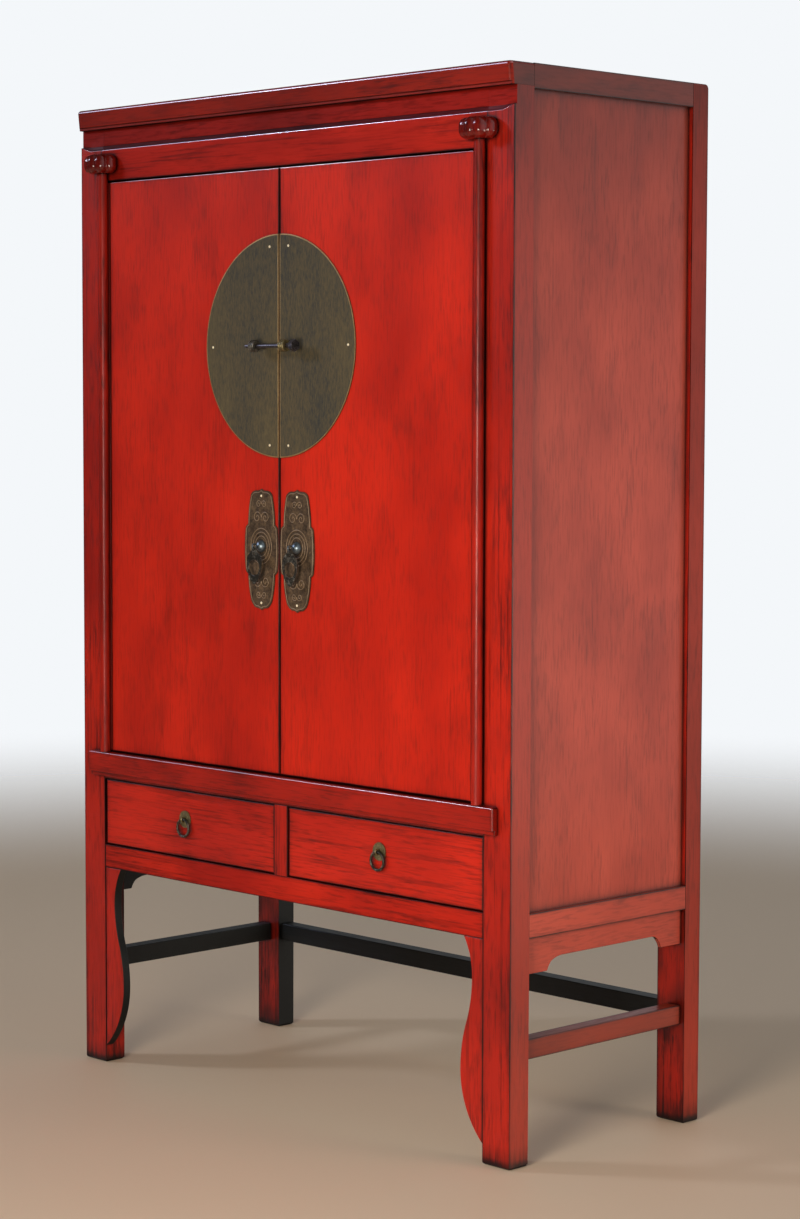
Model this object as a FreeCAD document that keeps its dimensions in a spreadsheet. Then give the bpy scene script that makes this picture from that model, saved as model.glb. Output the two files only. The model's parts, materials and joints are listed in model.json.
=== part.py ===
import FreeCAD, Part
import math
import os
import re
import Sketcher

# Two-door wedding cabinet in lacquered elm, with a round lock plate, two drawers and open legs.
# Frame: X to the right along the front, Y to the back, Z up, origin on the floor at the centre of
# the bounding box. Heights are stacked from the floor, depths are taken from the face of the posts.

sizes = {
    # whole carcass
    "cabinetWidth": 1150.0,
    "cabinetDepth": 493.0,
    "legHeight": 386.0,
    "bottomRailHeight": 45.0,
    "drawerOpening": 129.0,
    "waistHeight": 53.0,
    "doorOpening": 1095.0,
    "headRailHeight": 67.0,
    "throatHeight": 32.0,
    "corniceHeight": 38.0,
    "overrun": 5.0,
    "movingGap": 0.3,
    # posts
    "postWidth": 64.0,
    "frontPostDepth": 46.0,
    "rearPostDepth": 41.0,
    "postCorner": 1.5,
    "footChamfer": 3.0,
    "throatInset": 5.0,
    "shoulderRise": 8.5,
    "shoulderRunOut": 29.0,
    "topCorner": 8.0,
    # cornice, section of the front edge
    "corniceReach": 12.0,
    "corniceTaper": 3.5,
    "corniceRound": 6.0,
    "corniceLipHeight": 5.0,
    "corniceLipInset": 3.0,
    "corniceCornerRound": 9.0,
    # front rails
    "railThickness": 32.0,
    "friezeThickness": 20.0,
    "mullionWidth": 36.0,
    # moulding of the waist rail
    "waistReach": 14.0,
    "waistOverlap": 33.0,
    "waistRebate": 6.0,
    "waistLipHeight": 8.0,
    "waistLipReach": 7.0,
    "waistRound": 3.0,
    "waistEndRound": 2.5,
    # wings inside the front legs
    "wingReach": 54.0,
    "wingFoot": 34.0,
    "wingThickness": 17.0,
    "wingInset": 1.0,
    # sides
    "sideRailThickness": 28.0,
    "sideTopRailHeight": 42.0,
    "sideBottomRailHeight": 42.0,
    "panelRecess": 10.0,
    "panelThickness": 12.0,
    "apronThickness": 8.0,
    "apronInset": 10.0,
    "apronDepth": 40.7,
    "apronEndDepth": 63.2,
    "apronFrontEnd": 56.0,
    "apronFrontStep": 38.0,
    "apronRearEnd": 54.5,
    "apronRearStep": 24.0,
    "apronSwell": 1.0,
    "stretcherHeight": 34.5,
    "stretcherThickness": 30.0,
    "stretcherLevel": 180.0,
    "rearStretcherLevel": 182.0,
    "stretcherInset": 10.0,
    "stretcherRearInset": 5.0,
    "stretcherCorner": 2.0,
    # back, floors and bearers
    "rearRailThickness": 28.0,
    "backThickness": 10.0,
    "backInset": 14.0,
    "topBoardThickness": 17.0,
    "topBoardInset": 3.0,
    "floorThickness": 18.0,
    "shelfLevel": 1150.0,
    "shelfThickness": 18.0,
    "shelfSetback": 14.0,
    "cleatSide": 20.0,
    "bottomBoardThickness": 12.0,
    "bottomBoardLevel": 18.0,
    "runnerOverlap": 26.0,
    "centreRunnerWidth": 90.0,
    "guideHeight": 38.0,
    # door leaves
    "leafThickness": 22.0,
    "leafProud": 2.0,
    "leafRound": 1.5,
    "leafSideGap": 27.0,
    "centreGap": 3.5,
    "leafGap": 3.5,
    "battenHeight": 50.0,
    "battenThickness": 18.0,
    "battenTaper": 3.0,
    "battenEndGap": 28.0,
    # pole that each door turns on
    "poleRadius": 10.0,
    "poleForward": 6.0,
    "neckWidth": 16.0,
    "stileSetback": 3.0,
    "stilePostGap": 1.0,
    "pivotRadius": 6.0,
    "pivotLength": 15.0,
    # lobed block over each pole
    "knobReach": 40.0,
    "knobHeight": 35.0,
    "knobLevel": 14.0,
    "knobLobeRadius": 14.0,
    "poleHollow": 1.0,
    # round lock plate
    "lockPlateRadius": 199.5,
    "lockPlateLevel": 775.0,
    "plateThickness": 1.5,
    "lockNailAcross": 181.0,
    "lockNailUp": 177.5,
    "lockNailInset": 25.0,
    "nailRadius": 2.4,
    "nailHeight": 1.5,
    # lock barrels and pin
    "stapleSpacing": 40.0,
    "stapleLength": 14.0,
    "stapleRadius": 11.0,
    "stapleRib": 1.5,
    "stapleForward": 25.0,
    "stapleNeckRadius": 4.5,
    "stapleWall": 1.5,
    "pinRadius": 3.5,
    "pinPlay": 0.6,
    "pinTip": 62.0,
    "pinHeadStart": 49.0,
    "pinHeadLength": 21.0,
    "pinHeadRadius": 11.0,
    "pinHeadRim": 5.0,
    "pinEyeRadius": 1.6,
    "pinEyeOffset": 6.5,
    # pull plates with their bosses and leaf pulls
    "pullPlateCentre": 48.0,
    "pullPlateLevel": 409.0,
    "pullPlateHeight": 220.0,
    "pullPlateWidth": 91.0,
    "pullPlateBow": 2.2,
    "pullNailInset": 13.0,
    "bossRadius": 11.0,
    "bossHeight": 9.5,
    "bossRise": 6.0,
    "eyeForward": 17.0,
    "eyeRadius": 4.8,
    "eyeWire": 1.4,
    "leafPullHeight": 69.0,
    "leafPullWidth": 39.0,
    "leafPullThickness": 2.0,
    "leafPullHole": 2.4,
    "leafPullPlay": 0.5,
    "leafDropRadius": 2.4,
    # drawers
    "drawerGap": 2.0,
    "drawerSideGap": 3.0,
    "drawerSetback": 2.5,
    "drawerFrontThickness": 22.0,
    "drawerFrontRound": 1.5,
    "drawerRearGap": 32.5,
    "drawerSideHeight": 100.0,
    "drawerSideThickness": 12.0,
    "drawerBottomThickness": 8.0,
    # drawer rings
    "ringPlateRadius": 16.0,
    "ringPlateLevel": 74.0,
    "ringOffset": 7.5,
    "ringForward": 4.5,
    "ringRadius": 16.1,
    "ringWire": 2.3,
    "ringEyeRadius": 4.1,
    "ringEyeWire": 1.3,
}

doc = FreeCAD.newDocument("WeddingCabinet")
sheet = doc.addObject("Spreadsheet::Sheet", "Sizes")
for row, (name, number) in enumerate(sizes.items(), 1):
    sheet.set("A%d" % row, name)
    sheet.set("B%d" % row, str(number))
    sheet.setAlias("B%d" % row, name)
doc.recompute()

subParts = []
word = re.compile("[A-Za-z]+")


def bind(text):
    # the text of a size with the sheet's name in front of each of its cells
    return word.sub(lambda m: "Sizes." + m.group() if m.group() in sizes else m.group(), text)


def value(text):
    return float(sheet.evalExpression(text))


# Levels up the cabinet, depths from the face of the posts and widths from the centre line
railBase = "legHeight"
drawerBase = railBase + " + bottomRailHeight"
waistBase = drawerBase + " + drawerOpening"
doorBase = waistBase + " + waistHeight"
doorTop = doorBase + " + doorOpening"
shoulder = doorTop + " + headRailHeight"
throatTop = shoulder + " + throatHeight"
cabinetTop = throatTop + " + corniceHeight"
faceY = "(knobReach - cabinetDepth)/2"
halfWidth = "cabinetWidth/2"
postInner = "(cabinetWidth/2 - postWidth)"
rearFront = "(cabinetDepth - rearPostDepth)"
sideRailInner = "(cabinetWidth/2 - sideRailThickness)"
panelInner = "(cabinetWidth/2 - panelRecess - panelThickness)"
sideDepth = "(cabinetDepth - rearPostDepth - frontPostDepth)"
sideRailTop = "(" + cabinetTop + " - sideTopRailHeight)"
sideRailBase = "(" + drawerBase + " - sideBottomRailHeight)"
leafOuter = "(cabinetWidth/2 - postWidth - leafSideGap)"
leafInner = "(centreGap/2)"
leafBase = "(" + doorBase + " + leafGap)"
leafHeight = "(doorOpening - 2*leafGap)"
leafBack = "(leafThickness - leafProud)"
poleX = "(cabinetWidth/2 - postWidth - poleRadius)"
lockZ = "(" + doorBase + " + lockPlateLevel)"
plateFace = "(-leafProud - plateThickness)"
stapleY = "(-leafProud - stapleForward)"
pullZ = "(" + doorBase + " + pullPlateLevel)"
eyeZ = "(" + pullZ + " + bossRise)"
eyeY = "(" + plateFace + " - eyeForward)"
drawerInner = "(mullionWidth/2 + drawerGap)"
drawerOuter = "(cabinetWidth/2 - postWidth - drawerSideGap)"
drawerFloor = "(" + drawerBase + " + drawerGap)"
drawerBack = "(drawerSetback + drawerFrontThickness)"
drawerLength = "(" + rearFront + " - drawerRearGap - " + drawerBack + ")"
drawerCentre = "((" + drawerInner + " + " + drawerOuter + ")/2)"
runnerTop = "(" + drawerFloor + " - movingGap)"
boardTop = "(" + drawerBase + " - bottomBoardLevel + movingGap)"
ringPlateZ = "(" + drawerBase + " + ringPlateLevel)"
ringPlateFace = "(drawerSetback - plateThickness)"
ringY = "(" + ringPlateFace + " - ringForward)"


def place(solid, spot, turn=None):
    # spot is measured from the face of the posts, the frame's origin lies behind it
    if turn is not None:
        solid.Placement = FreeCAD.Placement(FreeCAD.Vector(), turn)
    solid.setExpression("Placement.Base.x", bind(spot[0]))
    solid.setExpression("Placement.Base.y", bind(faceY + " + (" + spot[1] + ")"))
    solid.setExpression("Placement.Base.z", bind(spot[2]))
    return solid


def keep(solid, label):
    solid.Label = label
    subParts.append(solid)
    return solid


def shaped(kind, name, spot, turn=None, **texts):
    solid = doc.addObject("Part::" + kind, name)
    for prop, text in texts.items():
        solid.setExpression(prop, bind(text))
    return place(solid, spot, turn)


def box(name, low, size):
    return shaped("Box", name, low, Length=size[0], Width=size[1], Height=size[2])


def domed(name, x, z, radius, height):
    # a round head that stands on the plates, its radius and height are names of sizes
    ball = "((%s^2 + %s^2)/(2*%s))" % (radius, height, height)
    sunk = "(%s - %s)" % (ball, height)
    return shaped("Sphere", name, (x, plateFace + " + " + sunk, z), toFront, Radius=ball,
                  Angle1="asin(%s/%s)" % (sunk, ball))


def group(name, solids):
    holder = doc.addObject("Part::Compound", name)
    holder.Links = solids
    return holder


def fuse(name, solids):
    joined = doc.addObject("Part::MultiFuse", name)
    joined.Shapes = solids
    return joined


def cut(name, base, tool):
    result = doc.addObject("Part::Cut", name)
    result.Base = base
    result.Tool = tool
    return result


def common(name, solids):
    result = doc.addObject("Part::MultiCommon", name)
    result.Shapes = solids
    return result


alongX = FreeCAD.Rotation(FreeCAD.Vector(0, 1, 0), 90)
toFront = FreeCAD.Rotation(FreeCAD.Vector(1, 0, 0), 90)


def arcOf(start, end, radius, turn):
    # the short arc from start to end, turn 1 goes anticlockwise and -1 clockwise
    chord = end - start
    rise = math.sqrt(max(radius**2 - (chord.Length / 2) ** 2, 0))
    side = FreeCAD.Vector(-chord.y, chord.x, 0).normalize()
    centre = start + chord * 0.5 + side * (rise * turn)
    first, last = (start, end) if turn > 0 else (end, start)
    low = math.atan2(first.y - centre.y, first.x - centre.x)
    high = math.atan2(last.y - centre.y, last.x - centre.x)
    if high < low:
        high += 2 * math.pi
    circle = Part.Circle(centre, FreeCAD.Vector(0, 0, 1), radius)
    return Part.ArcOfCircle(circle, low, high)


def outline(body, name, plane, start, corners):
    # a closed sketch whose corners sit at named sizes; a corner is (across, up) when the edge that
    # leaves it is straight, and (across, up, radius, turn) when that edge is an arc
    sketch = body.newObject("Sketcher::SketchObject", name)
    support = [f for f in body.Origin.OriginFeatures if f.Role == plane + "_Plane"][0]
    sketch.AttachmentSupport = [(support, "")]
    sketch.MapMode = "FlatFace"
    sign = "-" if plane == "XZ" else ""
    sketch.setExpression("AttachmentOffset.Base.z", bind(sign + "(" + start + ")"))
    spots = [FreeCAD.Vector(value(c[0]), value(c[1]), 0) for c in corners]
    ends = []
    for i, corner in enumerate(corners):
        here, there = spots[i], spots[(i + 1) % len(spots)]
        if len(corner) == 2:
            sketch.addGeometry(Part.LineSegment(here, there))
            ends.append((1, 2))
        else:
            sketch.addGeometry(arcOf(here, there, value(corner[2]), corner[3]))
            ends.append((1, 2) if corner[3] > 0 else (2, 1))
    for i, corner in enumerate(corners):
        after = (i + 1) % len(corners)
        join = Sketcher.Constraint("Coincident", i, ends[i][1], after, ends[after][0])
        sketch.addConstraint(join)
        for axis, text, here in (("X", corner[0], spots[i].x), ("Y", corner[1], spots[i].y)):
            spot = Sketcher.Constraint("Distance" + axis, -1, 1, i, ends[i][0], here)
            number = sketch.addConstraint(spot)
            sketch.setExpression("Constraints[%d]" % number, bind(text))
        if len(corner) == 4:
            number = sketch.addConstraint(Sketcher.Constraint("Radius", i, value(corner[2])))
            sketch.setExpression("Constraints[%d]" % number, bind(corner[2]))
    return sketch


def newBody(name, spot=("0", "0", "0")):
    return place(doc.addObject("PartDesign::Body", name), spot)


def addPad(body, name, plane, start, corners, depth):
    # depth runs along the axis that the plane's name leaves out
    sketch = outline(body, name + "Sketch", plane, start, corners)
    pad = body.newObject("PartDesign::Pad", name + "Pad")
    pad.Profile = sketch
    pad.setExpression("Length", bind(depth))
    pad.Reversed = plane == "XZ"
    doc.recompute()
    return pad


def addPocket(body, name, plane, start, corners, depth):
    sketch = outline(body, name + "Sketch", plane, start, corners)
    before = body.Shape.Volume
    pocket = body.newObject("PartDesign::Pocket", name + "Pocket")
    pocket.Profile = sketch
    pocket.setExpression("Length", bind(depth))
    pocket.Reversed = plane != "XZ"
    doc.recompute()
    if body.Shape.Volume >= before:
        raise RuntimeError(name + " cuts nothing")
    return pocket


def addSpin(body, name, plane, axis, corners):
    # a solid of revolution about the first or second axis of its sketch
    sketch = outline(body, name + "Sketch", plane, "0", corners)
    spin = body.newObject("PartDesign::Revolution", name + "Spin")
    spin.Profile = sketch
    spin.ReferenceAxis = (sketch, [axis])
    doc.recompute()
    return spin


def dress(body, kind, name, test, size):
    # a fillet or chamfer on every edge of the body's shape that the test accepts
    shape = body.Shape
    base = body.Tip
    names = ["Edge%d" % (i + 1) for i, edge in enumerate(shape.Edges) if test(edge)]
    if not names:
        raise RuntimeError(name + " finds no edge")
    feature = body.newObject("PartDesign::" + kind, name)
    feature.Base = (base, names)
    feature.setExpression("Radius" if kind == "Fillet" else "Size", bind(size))
    doc.recompute()
    return feature


near = 0.01


def edgeAt(edge, **wanted):
    # true when every point of the edge has the wanted coordinates, as numbers in the body's frame
    box = edge.BoundBox
    spans = {"x": (box.XMin, box.XMax), "y": (box.YMin, box.YMax), "z": (box.ZMin, box.ZMax)}
    return all(abs(low - wanted[k]) < near and abs(high - wanted[k]) < near
               for k, (low, high) in spans.items() if k in wanted)


def rectangle(left, low, across, up):
    right = left + " + " + across
    high = low + " + " + up
    return [(left, low), (right, low), (right, high), (left, high)]


def tangentRadius(start, end):
    # the radius of an arc through both points that stands upright at one of them
    across = "((" + end[0] + ") - (" + start[0] + "))"
    up = "((" + end[1] + ") - (" + start[1] + "))"
    return "((%s^2 + %s^2)/(2*abs(%s)))" % (across, up, across)


def bowRadius(start, end, bow):
    # the radius of an arc through both points that stands off their chord by bow
    across = "((" + end[0] + ") - (" + start[0] + "))"
    up = "((" + end[1] + ") - (" + start[1] + "))"
    return "(((%s^2 + %s^2)/4 + (%s)^2)/(2*(%s)))" % (across, up, bow, bow)


def sided(side, text):
    return "(" + text + ")" if side > 0 else "-(" + text + ")"


def lowX(side, inner, outer):
    # the lower end in X of a piece that spans from inner to outer on one side
    return inner if side > 0 else "-(" + outer + ")"


# Posts


def frontPost(name, side):
    body = newBody(name)
    across = lowX(side, postInner, halfWidth)
    addPad(body, name, "YZ", across, rectangle("0", "0", "frontPostDepth", shoulder), "postWidth")
    outer = side * value(halfWidth)
    face = value(faceY)
    dress(body, "Chamfer", name + "Foot", lambda e: edgeAt(e, z=0), "footChamfer")
    dress(body, "Fillet", name + "Corner", lambda e: edgeAt(e, x=outer, y=face), "postCorner")
    # the shoulder slopes back to the throat and its slope runs out at the outer corner
    foot, above = shoulder + " - shoulderRise", shoulder + " + overrun"
    inside, outside = sided(side, postInner + " - overrun"), sided(side, halfWidth)
    slope = [
        (inside, foot), (sided(side, halfWidth + " - shoulderRunOut"), foot),
        (outside, shoulder), (outside, above), (inside, above),
    ]
    cutter = addPocket(body, name + "Slope", "XZ", "0", slope, "2*shoulderRise")
    cutter.UseCustomVector = True
    cutter.setExpression("Direction.x", bind("0*overrun"))
    cutter.setExpression("Direction.y", bind("throatInset"))
    cutter.setExpression("Direction.z", bind("shoulderRise"))
    throat = [
        ("throatInset", shoulder), ("throatInset", throatTop),
        ("frontPostDepth", throatTop), ("frontPostDepth", shoulder),
    ]
    addPad(body, name + "Throat", "YZ", across, throat, "postWidth")
    keep(body, name)


def rearPost(name, side):
    body = newBody(name)
    corners = [
        (rearFront, "0"), (rearFront, cabinetTop),
        ("cabinetDepth - topCorner", cabinetTop, "topCorner", -1),
        ("cabinetDepth", cabinetTop + " - topCorner"), ("cabinetDepth", "0"),
    ]
    addPad(body, name, "YZ", lowX(side, postInner, halfWidth), corners, "postWidth")
    outer = side * value(halfWidth)
    back = value(faceY + " + cabinetDepth")
    dress(body, "Chamfer", name + "Foot", lambda e: edgeAt(e, z=0), "footChamfer")
    dress(body, "Fillet", name + "Corner", lambda e: edgeAt(e, x=outer, y=back), "postCorner")
    keep(body, name)


# Top: cornice, frieze and boards


def corniceMoulding():
    body = newBody("corniceMoulding")
    face = "-(corniceReach - corniceTaper)"
    lip = "-(corniceReach - corniceTaper - corniceLipInset)"
    lipTop = throatTop + " + corniceLipHeight"
    corners = [
        ("frontPostDepth", throatTop), (lip, throatTop), (lip, lipTop), (face, lipTop),
        ("-corniceReach", cabinetTop), ("frontPostDepth", cabinetTop),
    ]
    addPad(body, "cornice", "YZ", "-" + halfWidth, corners, "cabinetWidth")
    ends = (-value(halfWidth), value(halfWidth))
    top = value(cabinetTop)
    reach = value(faceY + " - corniceReach")
    back = value(faceY + " + frontPostDepth")
    dress(body, "Fillet", "corniceCorners",
          lambda e: any(edgeAt(e, x=end) for end in ends) and abs(e.BoundBox.YMin - reach) < near
          and e.BoundBox.ZMax - e.BoundBox.ZMin > value("corniceLipHeight"),
          "corniceCornerRound")
    dress(body, "Fillet", "corniceTop", lambda e: edgeAt(e, z=top) and e.BoundBox.YMin < back - near,
          "corniceRound")
    keep(body, "cornice_moulding")


def topBoards():
    high = "(" + cabinetTop + " - topBoardInset - topBoardThickness)"
    board = box("topBoard", ("-" + sideRailInner, "frontPostDepth", high),
                ("2*" + sideRailInner, sideDepth, "topBoardThickness"))
    keep(board, "top_board")
    frieze = box("friezeBoard", ("-" + postInner, "throatInset", shoulder),
                 ("2*" + postInner, "friezeThickness", "throatHeight"))
    keep(frieze, "frieze_board")


# Front rails


def headRail():
    body = newBody("doorHeadRail")
    corners = [
        ("0", doorTop), ("0", shoulder + " - shoulderRise"), ("throatInset", shoulder),
        ("railThickness", shoulder), ("railThickness", doorTop),
    ]
    addPad(body, "headRail", "YZ", "-" + postInner, corners, "2*" + postInner)
    hollows = []
    for side, name in ((-1, "left"), (1, "right")):
        spot = (sided(side, poleX), "-poleForward", doorTop + " - overrun")
        hollows.append(shaped("Cylinder", name + "PoleHollow", spot, Radius="poleRadius + poleHollow",
                              Height="knobLevel + overrun"))
    rail = cut("headRailHollowed", body, fuse("poleHollows", hollows))
    keep(rail, "door_head_rail")


def waistRail():
    body = newBody("waistRail")
    core = rectangle("0", waistBase, "frontPostDepth", "waistHeight")
    addPad(body, "waistCore", "YZ", "-" + postInner, core, "2*" + postInner)
    low = waistBase + " + waistRebate"
    lipTop = low + " + waistLipHeight"
    moulding = [
        ("0", low), ("-waistLipReach", low), ("-waistLipReach", lipTop), ("-waistReach", lipTop),
        ("-waistReach", doorBase + " - waistRound", "waistRound", -1),
        ("-waistReach + waistRound", doorBase), ("0", doorBase),
    ]
    halfSpan = "(cabinetWidth/2 - postWidth + waistOverlap)"
    addPad(body, "waistMoulding", "YZ", "-" + halfSpan, moulding, "2*" + halfSpan)
    ends = (-value(halfSpan), value(halfSpan))
    reach = value(faceY + " - waistReach")
    dress(body, "Fillet", "waistEnds",
          lambda e: any(edgeAt(e, x=end, y=reach) for end in ends), "waistEndRound")
    sockets = []
    for side, name in ((-1, "left"), (1, "right")):
        depth = "pivotLength + movingGap + overrun"
        spot = (sided(side, poleX), "-poleForward", doorBase + " - pivotLength - movingGap")
        sockets.append(shaped("Cylinder", name + "Socket", spot,
                              Radius="pivotRadius + movingGap", Height=depth))
    rail = cut("waistRailWithSockets", body, fuse("waistSockets", sockets))
    keep(rail, "waist_rail")


def lowerFront():
    mullion = box("drawerMullion", ("-mullionWidth/2", "0", drawerBase),
                  ("mullionWidth", "frontPostDepth", "drawerOpening"))
    keep(mullion, "drawer_mullion")
    rail = box("bottomFrontRail", ("-" + postInner, "0", railBase),
               ("2*" + postInner, "railThickness", "bottomRailHeight"))
    keep(rail, "bottom_front_rail")


# Wings inside the front legs: shares of the wing's reach and of its height over the foot
wingTopShare = (0.87, 1.0)
wingHollowShare = (0.5, 0.807)
wingBellyShare = (1.0, 0.349)


def legWing(name, side):
    def spot(share):
        reach = "(cabinetWidth/2 - postWidth - %g*wingReach)" % share[0]
        return sided(side, reach), "(wingFoot + %g*(legHeight - wingFoot))" % share[1]

    top, hollow, belly = spot(wingTopShare), spot(wingHollowShare), spot(wingBellyShare)
    turning = ("(%s + %s)/2" % (hollow[0], belly[0]), "(%s + %s)/2" % (hollow[1], belly[1]))
    foot = (sided(side, postInner), "wingFoot")
    corners = [
        top + (tangentRadius(top, hollow), -side),
        hollow + (tangentRadius(hollow, turning), -side),
        turning + (tangentRadius(turning, belly), side),
        belly + (tangentRadius(belly, foot), side),
        foot,
        (sided(side, postInner), "legHeight"),
    ]
    body = newBody(name)
    addPad(body, name, "XZ", "wingInset", corners, "wingThickness")
    keep(body, name)


# Sides


def sideFrame(word, side):
    outer = lowX(side, sideRailInner, halfWidth)
    size = ("sideRailThickness", sideDepth)
    top = box(word + "SideTopRail", (outer, "frontPostDepth", sideRailTop),
              size + ("sideTopRailHeight",))
    keep(top, word + "_side_top_rail")
    bottom = box(word + "SideBottomRail", (outer, "frontPostDepth", sideRailBase),
                 size + ("sideBottomRailHeight",))
    keep(bottom, word + "_side_bottom_rail")
    panelHeight = sideRailTop + " - (" + drawerBase + ")"
    panel = box(word + "SidePanel",
                (lowX(side, panelInner, "cabinetWidth/2 - panelRecess"), "frontPostDepth", drawerBase),
                ("panelThickness", sideDepth, panelHeight))
    keep(panel, word + "_side_panel")


apronLow = "(" + sideRailBase + " - apronEndDepth)"
apronHigh = "(" + sideRailBase + " - apronDepth)"

# Where the steps of the apron's lower edge turn, as shares of their length and height
frontTurnShare = (0.26, 0.68)
rearTurnShare = (0.27, 0.55)


def sideApron(word, side):
    # each step rises steeply from the low end, then rounds over into the straight edge
    def step(corner, way, length, share):
        turn = ("(%s + %d*%g*%s)" % (corner, way, share[0], length),
                "(%s + %g*(apronEndDepth - apronDepth))" % (apronLow, share[1]))
        return (corner, apronLow), turn, ("(%s + %d*%s)" % (corner, way, length), apronHigh)

    def levelRadius(start, end):
        # the radius of an arc through both points that lies level at one of them
        return tangentRadius(start[::-1], end[::-1])

    a, b, c = step("(frontPostDepth + apronFrontEnd)", 1, "apronFrontStep", frontTurnShare)
    f, e, d = step("(" + rearFront + " - apronRearEnd)", -1, "apronRearStep", rearTurnShare)
    corners = [
        ("frontPostDepth", apronLow),
        a + (bowRadius(a, b, "apronSwell"), -1),
        b + (levelRadius(b, c), -1),
        c,
        d + (levelRadius(d, e), -1),
        e + (bowRadius(e, f, "apronSwell"), -1),
        f,
        (rearFront, apronLow), (rearFront, sideRailBase), ("frontPostDepth", sideRailBase),
    ]
    body = newBody(word + "SideApron")
    inner = "cabinetWidth/2 - apronInset - apronThickness"
    outer = "cabinetWidth/2 - apronInset"
    addPad(body, word + "Apron", "YZ", lowX(side, inner, outer), corners, "apronThickness")
    keep(body, word + "_side_apron")


def stretchers():
    for word, side in (("left", -1), ("right", 1)):
        inner = "cabinetWidth/2 - stretcherInset - stretcherThickness"
        outer = "cabinetWidth/2 - stretcherInset"
        body = newBody(word + "SideStretcher")
        section = rectangle(lowX(side, inner, outer), "stretcherLevel",
                            "stretcherThickness", "stretcherHeight")
        addPad(body, word + "Stretcher", "XZ", "frontPostDepth", section, sideDepth)
        dress(body, "Fillet", word + "StretcherCorner",
              lambda e: e.Length > value(sideDepth) - near, "stretcherCorner")
        keep(body, word + "_side_stretcher")
    body = newBody("rearStretcher")
    section = rectangle("cabinetDepth - stretcherRearInset - stretcherThickness", "rearStretcherLevel",
                        "stretcherThickness", "stretcherHeight")
    addPad(body, "rearStretcher", "YZ", "-" + postInner, section, "2*" + postInner)
    dress(body, "Fillet", "rearStretcherCorner",
          lambda e: e.Length > value("2*" + postInner) - near, "stretcherCorner")
    keep(body, "rear_stretcher")


# Back and inside


def backAndInside():
    span = "2*" + postInner
    rails = [
        box("rearTopRail", ("-" + postInner, rearFront, sideRailTop),
            (span, "rearRailThickness", "sideTopRailHeight")),
        box("rearMiddleRail", ("-" + postInner, rearFront, waistBase),
            (span, "rearRailThickness", "waistHeight")),
        box("rearBottomRail", ("-" + postInner, rearFront, railBase),
            (span, "rearRailThickness", "bottomRailHeight")),
    ]
    keep(group("rearRails", rails), "rear_rails")
    backY = rearFront + " + backInset"
    panels = [
        box("upperBack", ("-" + postInner, backY, doorBase),
            (span, "backThickness", sideRailTop + " - (" + doorBase + ")")),
        box("lowerBack", ("-" + postInner, backY, drawerBase),
            (span, "backThickness", "drawerOpening")),
    ]
    keep(group("backPanels", panels), "back_panel")
    wide = "2*" + panelInner
    floor = box("cupboardFloor", ("-" + panelInner, "frontPostDepth", doorBase + " - floorThickness"),
                (wide, sideDepth, "floorThickness"))
    keep(floor, "cupboard_floor")
    shelf = box("cupboardShelf", ("-" + panelInner, "frontPostDepth + shelfSetback", "shelfLevel"),
                (wide, sideDepth + " - shelfSetback", "shelfThickness"))
    keep(shelf, "cupboard_shelf")
    cleats = []
    for side, word in ((-1, "left"), (1, "right")):
        for level, name in ((doorBase + " - floorThickness", "Floor"), ("shelfLevel", "Shelf")):
            x = lowX(side, panelInner + " - cleatSide", panelInner)
            cleats.append(box(word + name + "Cleat", (x, "frontPostDepth", level + " - cleatSide"),
                              ("cleatSide", sideDepth, "cleatSide")))
    keep(group("shelfCleats", cleats), "shelf_cleats")
    boardDepth = rearFront + " - railThickness"
    board = box("bottomBoard",
                ("-" + postInner, "railThickness", boardTop + " - bottomBoardThickness"),
                (span, boardDepth, "bottomBoardThickness"))
    keep(board, "bottom_board")
    runners = []
    runnerHeight = runnerTop + " - " + boardTop
    for side, word in ((-1, "left"), (1, "right")):
        inner = postInner + " - runnerOverlap"
        runners.append(box(word + "Runner", (lowX(side, inner, sideRailInner), "frontPostDepth", boardTop),
                           (sideRailInner + " - (" + inner + ")", sideDepth, runnerHeight)))
        runners.append(box(word + "Guide", (lowX(side, postInner, sideRailInner), "frontPostDepth", runnerTop),
                           (sideRailInner + " - " + postInner, sideDepth, "guideHeight")))
    runners.append(box("centreRunner", ("-centreRunnerWidth/2", "frontPostDepth", boardTop),
                       ("centreRunnerWidth", sideDepth, runnerHeight)))
    runners.append(box("centreGuide", ("-mullionWidth/2", "frontPostDepth", runnerTop),
                       ("mullionWidth", sideDepth, "guideHeight")))
    keep(group("drawerRunners", runners), "drawer_runners")


# Lobed block over each pole: five round-ended lobes round the front half of a turned core
lobeCount = 5


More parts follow.
